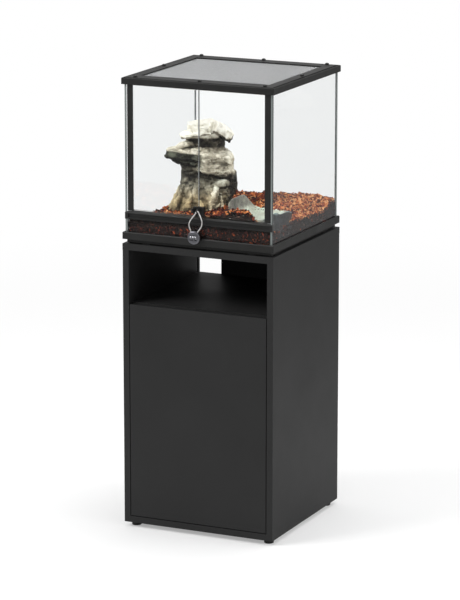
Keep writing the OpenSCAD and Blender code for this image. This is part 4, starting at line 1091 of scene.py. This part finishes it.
def joined_shells(name, shells, step):
    """Joins closed shells, given as (points, faces), and wraps them in one skin whose cells
    measure step."""
    bm = bmesh.new()
    for points, faces in shells:
        verts = [bm.verts.new(p) for p in points.reshape(-1, 3)]
        for face in faces:
            corners = [verts[i] for i in face]
            if len(set(corners)) > 2:
                bm.faces.new(list(dict.fromkeys(corners)))
    bmesh.ops.remove_doubles(bm, verts=bm.verts, dist=1e-6)
    bmesh.ops.recalc_face_normals(bm, faces=bm.faces)
    mesh = bpy.data.meshes.new(name)
    bm.to_mesh(mesh)
    bm.free()
    obj = bpy.data.objects.new(name, mesh)
    bpy.context.scene.collection.objects.link(obj)
    skin = obj.modifiers.new("skin", "REMESH")
    skin.mode = "VOXEL"
    skin.voxel_size = step
    wrapped = bpy.data.meshes.new_from_object(obj.evaluated_get(
        bpy.context.evaluated_depsgraph_get()))
    obj.modifiers.clear()
    obj.data = wrapped
    wrapped.name = name
    wrapped.shade_smooth()
    return obj


def vertex_arrays(mesh):
    """Points and normals of a mesh as arrays."""
    points, normals = np.zeros(len(mesh.vertices) * 3), np.zeros(len(mesh.vertices) * 3)
    mesh.vertices.foreach_get("co", points)
    mesh.vertices.foreach_get("normal", normals)
    return points.reshape(-1, 3), normals.reshape(-1, 3)


def finish_carving(obj, points, box, washes):
    """Moves a carved mesh's points, kept inside its node's box, and stores its paint."""
    low, high = box
    points = np.clip(points, np.array(low) + CLEAR, np.array(high) - CLEAR)
    obj.data.vertices.foreach_set("co", points.ravel())
    for name, value in washes.items():
        obj.data.attributes.new(name, "FLOAT", "POINT").data.foreach_set(
            "value", np.clip(value, 0, 1).astype(np.float32))
    obj.data.update()


def slab(centre, half, turn=(0, 0, 0), power=(0.7, 0.35), rows=28, cols=48):
    """A superellipsoid: x = a c(v)^p c(u)^q, y = b c(v)^p s(u)^q, z = h s(v)^p, turned."""
    u = np.linspace(-np.pi, np.pi, cols, endpoint=False)[None]
    v = np.linspace(-np.pi / 2, np.pi / 2, rows)[:, None]

    def signed(value, p):
        """The value's power, with the value's sign."""
        return np.sign(value) * np.abs(value) ** p

    q, p = power
    points = np.stack([half[0] * signed(np.cos(v), p) * signed(np.cos(u), q),
                       half[1] * signed(np.cos(v), p) * signed(np.sin(u), q),
                       half[2] * signed(np.sin(v), p) * np.ones_like(u)], -1)
    a, b, c = np.radians(turn)
    rx = np.array([[1, 0, 0], [0, np.cos(a), -np.sin(a)], [0, np.sin(a), np.cos(a)]])
    ry = np.array([[np.cos(b), 0, np.sin(b)], [0, 1, 0], [-np.sin(b), 0, np.cos(b)]])
    rz = np.array([[np.cos(c), -np.sin(c), 0], [np.sin(c), np.cos(c), 0], [0, 0, 1]])
    points = points @ (rz @ ry @ rx).T + np.array(centre)
    return points * MM, strip_faces(rows, cols, wrap_cols=True).tolist()


def stack(levels, sides=48):
    """A closed loft through levels of (height, left, right, front, rear, roundness)."""
    turn = np.linspace(0, 2 * np.pi, sides, endpoint=False)
    rings = []
    for z, left, right, front, rear, power in levels:
        c, s = np.cos(turn), np.sin(turn)
        x = (left + right) / 2 + (right - left) / 2 * np.sign(c) * np.abs(c) ** power
        y = (front + rear) / 2 + (rear - front) / 2 * np.sign(s) * np.abs(s) ** power
        rings.append(np.stack([x, y, np.full(sides, float(z))], -1))
    points = np.array(rings) * MM
    faces = strip_faces(len(levels), sides, wrap_cols=True).tolist()
    last = (len(levels) - 1) * sides
    return points, [*faces, list(range(sides)), list(range(last, last + sides))]


def root(path, radii, sides=14):
    """A closed tube that tapers along a path: ring k has radius radii[k]."""
    path = np.array(path, float)
    way = np.gradient(path, axis=0)
    way /= np.linalg.norm(way, axis=1)[:, None]
    side = np.cross(way, [0.3, 1, 0.2])
    side /= np.linalg.norm(side, axis=1)[:, None]
    up = np.cross(way, side)
    turn = np.linspace(0, 2 * np.pi, sides, endpoint=False)[:, None]
    points = path[:, None] + np.array(radii)[:, None, None] * (
        np.cos(turn) * side[:, None] + np.sin(turn) * up[:, None])
    last = (len(path) - 1) * sides
    faces = strip_faces(len(path), sides, wrap_cols=True).tolist()
    return points * MM, [*faces, list(range(sides)), list(range(last, last + sides))]


class TERRARIUM_OT_rock(bpy.types.Operator):
    """A cast rock: column, two overhanging slabs, a cap in two lobes and roots at the foot"""

    bl_idname = "terrarium.rock"
    bl_label = "Rock"

    MIDDLE = (-0.060, -0.055, 0)
    TURN = 24.95  # the rock's broad side is turned this far to the right, in degrees
    # Each root's path and its radius at each point, in millimetres.
    ROOTS = (
        (((50, -40, 850), (42, -44, 840), (35, -51, 818), (29, -58, 796), (22, -63, 768)),
         (8, 8, 9, 8, 5)),
        (((-2, -48, 812), (2, -56, 800), (7, -62, 786), (10, -66, 770)), (4, 6, 6, 4)),
        (((52, -46, 832), (52, -52, 818), (55, -56, 804), (57, -58, 788)), (4, 4, 3.5, 3)),
        (((50, -50, 804), (42, -56, 800), (32, -62, 790), (28, -64, 780)), (3, 4, 4, 3)),
        (((62, -36, 846), (67, -44, 824), (70, -47, 800), (74, -50, 780)), (5, 4, 4, 4)),
        (((-40, -24, 846), (-48, -34, 820), (-60, -46, 794), (-74, -50, 770)), (4, 7, 10, 8)),
        (((-16, -30, 838), (-22, -42, 814), (-32, -54, 794), (-38, -60, 768)), (4, 7, 9, 8)),
    )

    def shells(self):
        """The rock's masses in millimetres: x to its right, y to its rear, z from the floor."""
        column = stack([
            (760, -84, 78, -58, 50, 0.9), (786, -80, 79, -57, 50, 0.9),
            (800, -71, 78, -53, 48, 0.9), (814, -62, 77, -48, 44, 0.85),
            (830, -55, 76, -42, 40, 0.85), (846, -50, 74, -36, 38, 0.8),
            (864, -47, 72, -31, 36, 0.8), (884, -47, 70, -31, 36, 0.8),
            (906, -50, 66, -34, 36, 0.8)])
        neck = stack([(915, -46, 64, -26, 36, 0.8), (938, -40, 61, -24, 30, 0.8),
                      (952, -34, 58, -22, 30, 0.8), (974, -34, 54, -24, 30, 0.8)])
        return [
            column,
            neck,
            slab((63, 12, 846), (27, 34, 36), (0, 6, 0), (0.8, 0.7)),
            # middle slab: a wedge at the left, a deep block at the right, a terrace on top
            slab((-26, -4, 918), (57, 50, 12), (-4, 6, 0), (0.45, 0.3), 34, 64),
            slab((-26, -2, 905), (44, 44, 12), (-4, 12, 0), (0.6, 0.5)),
            slab((34, -8, 901), (46, 48, 30), (4, 8, 6), (0.5, 0.4), 34, 64),
            slab((48, -14, 884), (31, 38, 17), (6, 14, 10), (0.6, 0.5)),
            slab((-12, -2, 930), (48, 38, 9), (0, 0, 10), (0.6, 0.5)),
            slab((-36, -6, 936), (25, 30, 13), (0, -24, 0), (0.7, 0.6)),
            # cap: a ledge, the left lobe and the right block
            slab((-8, -4, 971), (41, 42, 6), (-5, -8, 6), (0.5, 0.4), 30, 64),
            slab((3, -4, 986), (31, 38, 15), (-4, -6, -8), (0.45, 0.35), 30, 64),
            slab((54, -4, 975), (27, 36, 14), (-3, 37, 10), (0.4, 0.35), 30, 64),
            # roots at the right of the foot, and the folds of the flaring foot
            slab((54, -38, 852), (19, 16, 12), (0, -10, 0), (0.9, 0.9), 16, 24),
            *(root(path, radii) for path, radii in self.ROOTS),
        ]

    def paint(self, local, normals, move):
        """Tone, blue-grey and moss by place: pale on top as painted light, the cap paler still,
        partly its own paint and partly painted light, dark beneath, in recesses, on the column,
        under the cap and at the right bulge as painted shade, blue-grey and darker under the
        left edge of the middle slab as painted shade, olive at the foot."""
        x, y, z = local.T
        up = normals[:, 2]
        broad = fractal(local / 24, 3, seed=51)
        fine = fractal(local / 7, 3, seed=57)
        # Painted light: faces that look up are paler.
        tone = 0.46 + 0.17 * broad + 0.13 * fine + 0.2 * smooth_step(up, 0.0, 0.7)
        # The cap is paler, partly its own paler paint and partly painted light from above.
        cap = smooth_step(z, 957, 968)
        tone += 0.46 * cap + 0.05 * smooth_step(z, 866, 900)
        tone -= 0.12 * (1 - smooth_step(z, 806, 846)) * (0.5 + fine)
        slab_side = smooth_step(z, 884, 900) * (1 - smooth_step(z, 936, 946))
        neck = smooth_step(z, 934, 942) * (1 - smooth_step(z, 956, 964))
        # Painted shade under the cap.
        tone -= 0.42 * neck * smooth_step(x, -36, -20)
        foot = 1 - smooth_step(z, 806, 852)
        column = (1 - foot) * (1 - smooth_step(z + 0.25 * x, 872, 896))
        # Painted shade on the column under the slabs.
        tone -= 0.17 * column * smooth_step(z, 826, 866)
        # Painted shade on the right bulge, the side away from the light.
        tone -= 0.34 * smooth_step(x, 60, 74) * (1 - smooth_step(z, 866, 884))
        # Painted shade on faces that look down.
        tone -= 0.5 * smooth_step(-up, 0.1, 0.6)
        # Painted shade in recesses, and paler raised points.
        tone += np.clip(move * 70, -0.2, 0.16)
        lump = ((x - 54) / 22) ** 2 + ((z - 852) / 15) ** 2 < 1
        roots = (smooth_step(-y, 42, 48) * smooth_step(x, 14, 24)
                 * (1 - smooth_step(z, 846, 862)))
        tone += 0.18 * roots + 0.2 * lump * smooth_step(-y, 28, 38)
        # Blue-grey tint that also darkens, as painted shade under the left edge of the middle
        # slab and on the column.
        damp = slab_side * smooth_step(-x, -14, 12) * (1 - smooth_step(up, 0.1, 0.5))
        tone += 0.14 * broad * damp - 0.24 * damp
        moss = foot * (1 - 0.5 * roots)
        return {"tone": tone, "damp": 0.9 * damp + 0.35 * column, "moss": moss}

    def weathered(self, mm, normals):
        """How far each point moves out, in metres: 3 mm of facets 24 mm wide and 1.9 mm of
        facets 9 mm wide, plus 5.5 mm of noise, less 3 mm where a bed's crack, 11 mm from the
        next, crosses a steep face, less 2 mm in pits, most of them in the deep block."""
        warp = 11 * np.stack([fractal(mm / 34 + k * 31, 2, seed=k) for k in range(3)], -1)
        bent = mm + warp
        chiselled = 3 * facets(bent / 24, seed=61) + 1.9 * facets(bent / 9, seed=67)
        rough = fractal(bent / 26, 5, seed=11, gain=0.6)
        beds = np.abs(fractal(bent / np.array([60, 60, 11]), 2, seed=23))
        pits = smooth_step(fractal(mm / 6, 2, seed=37), 0.3, 0.6)
        steep = 1 - np.abs(normals[:, 2])
        pitted = smooth_step(mm[:, 0], 10, 40) * smooth_step(mm[:, 2], 862, 876) * (
            1 - smooth_step(mm[:, 2], 905, 915))
        return (0.001 * chiselled + 0.0055 * rough - 0.003 * steep * (1 - beds) ** 6
                - 0.002 * pits * (0.3 + pitted))

    def execute(self, context):
        looks = context.scene.terrarium_looks.decor
        low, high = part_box("rock_ornament")
        rock = joined_shells("rock", self.shells(), looks.rock_step)
        local, normals = vertex_arrays(rock.data)
        mm = local / MM
        move = self.weathered(mm, normals)
        attributes = self.paint(mm, normals, move)
        points = local + normals * move[:, None]
        a = np.radians(self.TURN)
        turn = np.array([[np.cos(a), -np.sin(a), 0], [np.sin(a), np.cos(a), 0], [0, 0, 1]])
        points = points @ turn.T + np.array(self.MIDDLE)
        finish_carving(rock, points, (low, high), attributes)
        stone = painted_resin("painted_resin_rock", [
            (0.0, "#1f1c17"), (0.2, "#443f34"), (0.4, "#7a7363"), (0.58, "#a8a18e"),
            (0.76, "#d6d0be"), (1.0, "#f7f4e8")],
            linear("#b6c9c6"), linear("#f6e7c6"), roughest=0.85, smoothest=0.6)
        place_piece(rock, "cabinet", stone, ["rock_ornament"])
        return {"FINISHED"}


class TERRARIUM_OT_dish(bpy.types.Operator):
    """A cast corner dish, moulded as pale green stone"""

    bl_idname = "terrarium.dish"
    bl_label = "Dish"

    LOW_RIM, BASIN = 0.797, 0.776  # heights of the rim's low part and of the basin
    # Bumps of the rim as (height, angle of the crest, reach before it, reach after it).
    BUMPS = ((0.037, 179, 104, 70), (0.016, 330, 60, 60))
    SQUARENESS = 0.32  # power of the outline's cosine and sine
    SIDES = 240

    def execute(self, context):
        """A squared outline, x = a c(t)^0.32 and y = b s(t)^0.32, carried over rings that rise
        from the foot to a bumpy rim and sink into the basin, then roughened along its normals
        by 2.2 mm of noise, less 2.2 mm where a bed's crack crosses a steep face."""
        low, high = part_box("water_dish")
        middle, half = (low + high) / 2, (high - low) / 2
        degrees = np.linspace(0, 360, self.SIDES, endpoint=False)
        turn = np.radians(degrees)
        rim = np.full_like(turn, self.LOW_RIM)
        for height, crest, before, after in self.BUMPS:
            off = (degrees - crest + 540) % 360 - 180
            share = np.maximum(-off / before, off / after)
            rim += height * np.cos(np.pi / 2 * np.minimum(1, share)) ** 2
        c, s = (np.sign(f(turn)) * np.abs(f(turn)) ** self.SQUARENESS for f in (np.cos, np.sin))
        # Share of the outline, and share of the way from foot (-1) over rim (0) to basin (1).
        rings = ([(1, -1 + k / 10) for k in range(10)]
                 + [(1, -0.05), (0.985, -0.015), (0.965, 0), (0.94, 0.02), (0.915, 0.07)]
                 + [(0.915 - 0.3 * k / 10, 0.07 + 0.86 * (k / 10) ** 0.8)
                    for k in range(1, 11)]
                 + [(0.58, 0.97), (0.5, 1), (0.35, 1.02), (0.18, 1.03), (0.05, 1.03)])
        share, depth = np.array(rings).T[:, :, None]
        z = np.where(depth < 0, rim + (rim - low.z) * depth, rim + (self.BASIN - rim) * depth)
        rows = np.stack([middle.x + half.x * share * c, middle.y + half.y * share * s, z], -1)
        cols = len(turn)
        faces = strip_faces(len(rows), cols, wrap_cols=True).tolist()
        faces += [list(range(cols)), list(range((len(rows) - 1) * cols, len(rows) * cols))]
        dish = outward(new_piece("dish", rows, faces))
        points, normals = vertex_arrays(dish.data)
        mm = points / MM
        warp = 6 * np.stack([fractal(mm / 30 + k * 17, 2, seed=k) for k in range(3)], -1)
        bent = mm + warp
        rough = fractal(bent / 20, 4, seed=71)
        beds = np.abs(fractal(bent / np.array([50, 50, 7]), 2, seed=77))
        steep = 1 - np.abs(normals[:, 2])
        move = 0.0022 * rough - 0.0022 * steep * (1 - beds) ** 3
        points = points + normals * move[:, None]
        # The raised wall at the left is darker grey, a painted shadow of the rock, and the
        # basin and the low rim stay pale. Recesses and the right outer wall by the right pane
        # are darker, as painted shade.
        tone = (0.74 + np.clip(move * 80, -0.2, 0.15)
                - 0.36 * smooth_step(mm[:, 2], 799, 812) * (1 - smooth_step(mm[:, 0], 90, 150))
                + 0.12 * fractal(mm / 18, 3, seed=79)
                - 0.5 * smooth_step(mm[:, 0], 182, 187) * (1 - smooth_step(mm[:, 2], 800, 812))
                - 0.3 * smooth_step(mm[:, 0], 150, 170) * (1 - smooth_step(mm[:, 2], 808, 814)))
        # The right part takes the blue-grey tint, which darkens it as painted shade of its
        # outer side.
        damp = smooth_step(mm[:, 0], 150, 172)
        washes = {"tone": tone, "damp": damp, "moss": 0 * tone}
        finish_carving(dish, points, (low, high), washes)
        stone = painted_resin("painted_resin_dish", [
            (0.0, "#272726"), (0.25, "#504f48"), (0.45, "#86857a"), (0.65, "#b3b6a7"),
            (0.85, "#cedbca"), (1.0, "#eaf1e6")],
            linear("#b4c6d4"), linear("#fff6e0"), roughest=0.5, smoothest=0.3)
        place_piece(dish, "cabinet", stone, ["water_dish"])
        return {"FINISHED"}


class TERRARIUM_PT_panel(bpy.types.Panel):
    """Lists the operators in the sidebar"""

    bl_idname = "TERRARIUM_PT_panel"
    bl_label = "Terrarium Cabinet"
    bl_space_type = "VIEW_3D"
    bl_region_type = "UI"
    bl_category = "Terrarium"

    def draw(self, context):
        for operator in OPERATORS:
            self.layout.operator(operator.bl_idname)


OPERATORS = (
    TERRARIUM_OT_stage,
    TERRARIUM_OT_boards,
    TERRARIUM_OT_fittings,
    TERRARIUM_OT_frames,
    TERRARIUM_OT_glass,
    TERRARIUM_OT_lid_mesh,
    TERRARIUM_OT_lock,
    TERRARIUM_OT_substrate,
    TERRARIUM_OT_rock,
    TERRARIUM_OT_dish,
)
CLASSES = (CabinetLooks, TankLooks, LidLooks, LockLooks, DecorLooks, StageLooks,
           TerrariumLooks, *OPERATORS, TERRARIUM_PT_panel)


def register():
    """Registers the classes and gives the scene its settings."""
    for cls in CLASSES:
        bpy.utils.register_class(cls)
    bpy.types.Scene.terrarium_looks = PointerProperty(type=TerrariumLooks)


def unregister():
    """Takes the settings and the classes away again."""
    del bpy.types.Scene.terrarium_looks
    for cls in reversed(CLASSES):
        bpy.utils.unregister_class(cls)


def main():
    """Builds every piece in order."""
    register()
    for operator in OPERATORS:
        group, name = operator.bl_idname.split(".")
        getattr(getattr(bpy.ops, group), name)()


if __name__ == "__main__":
    main()
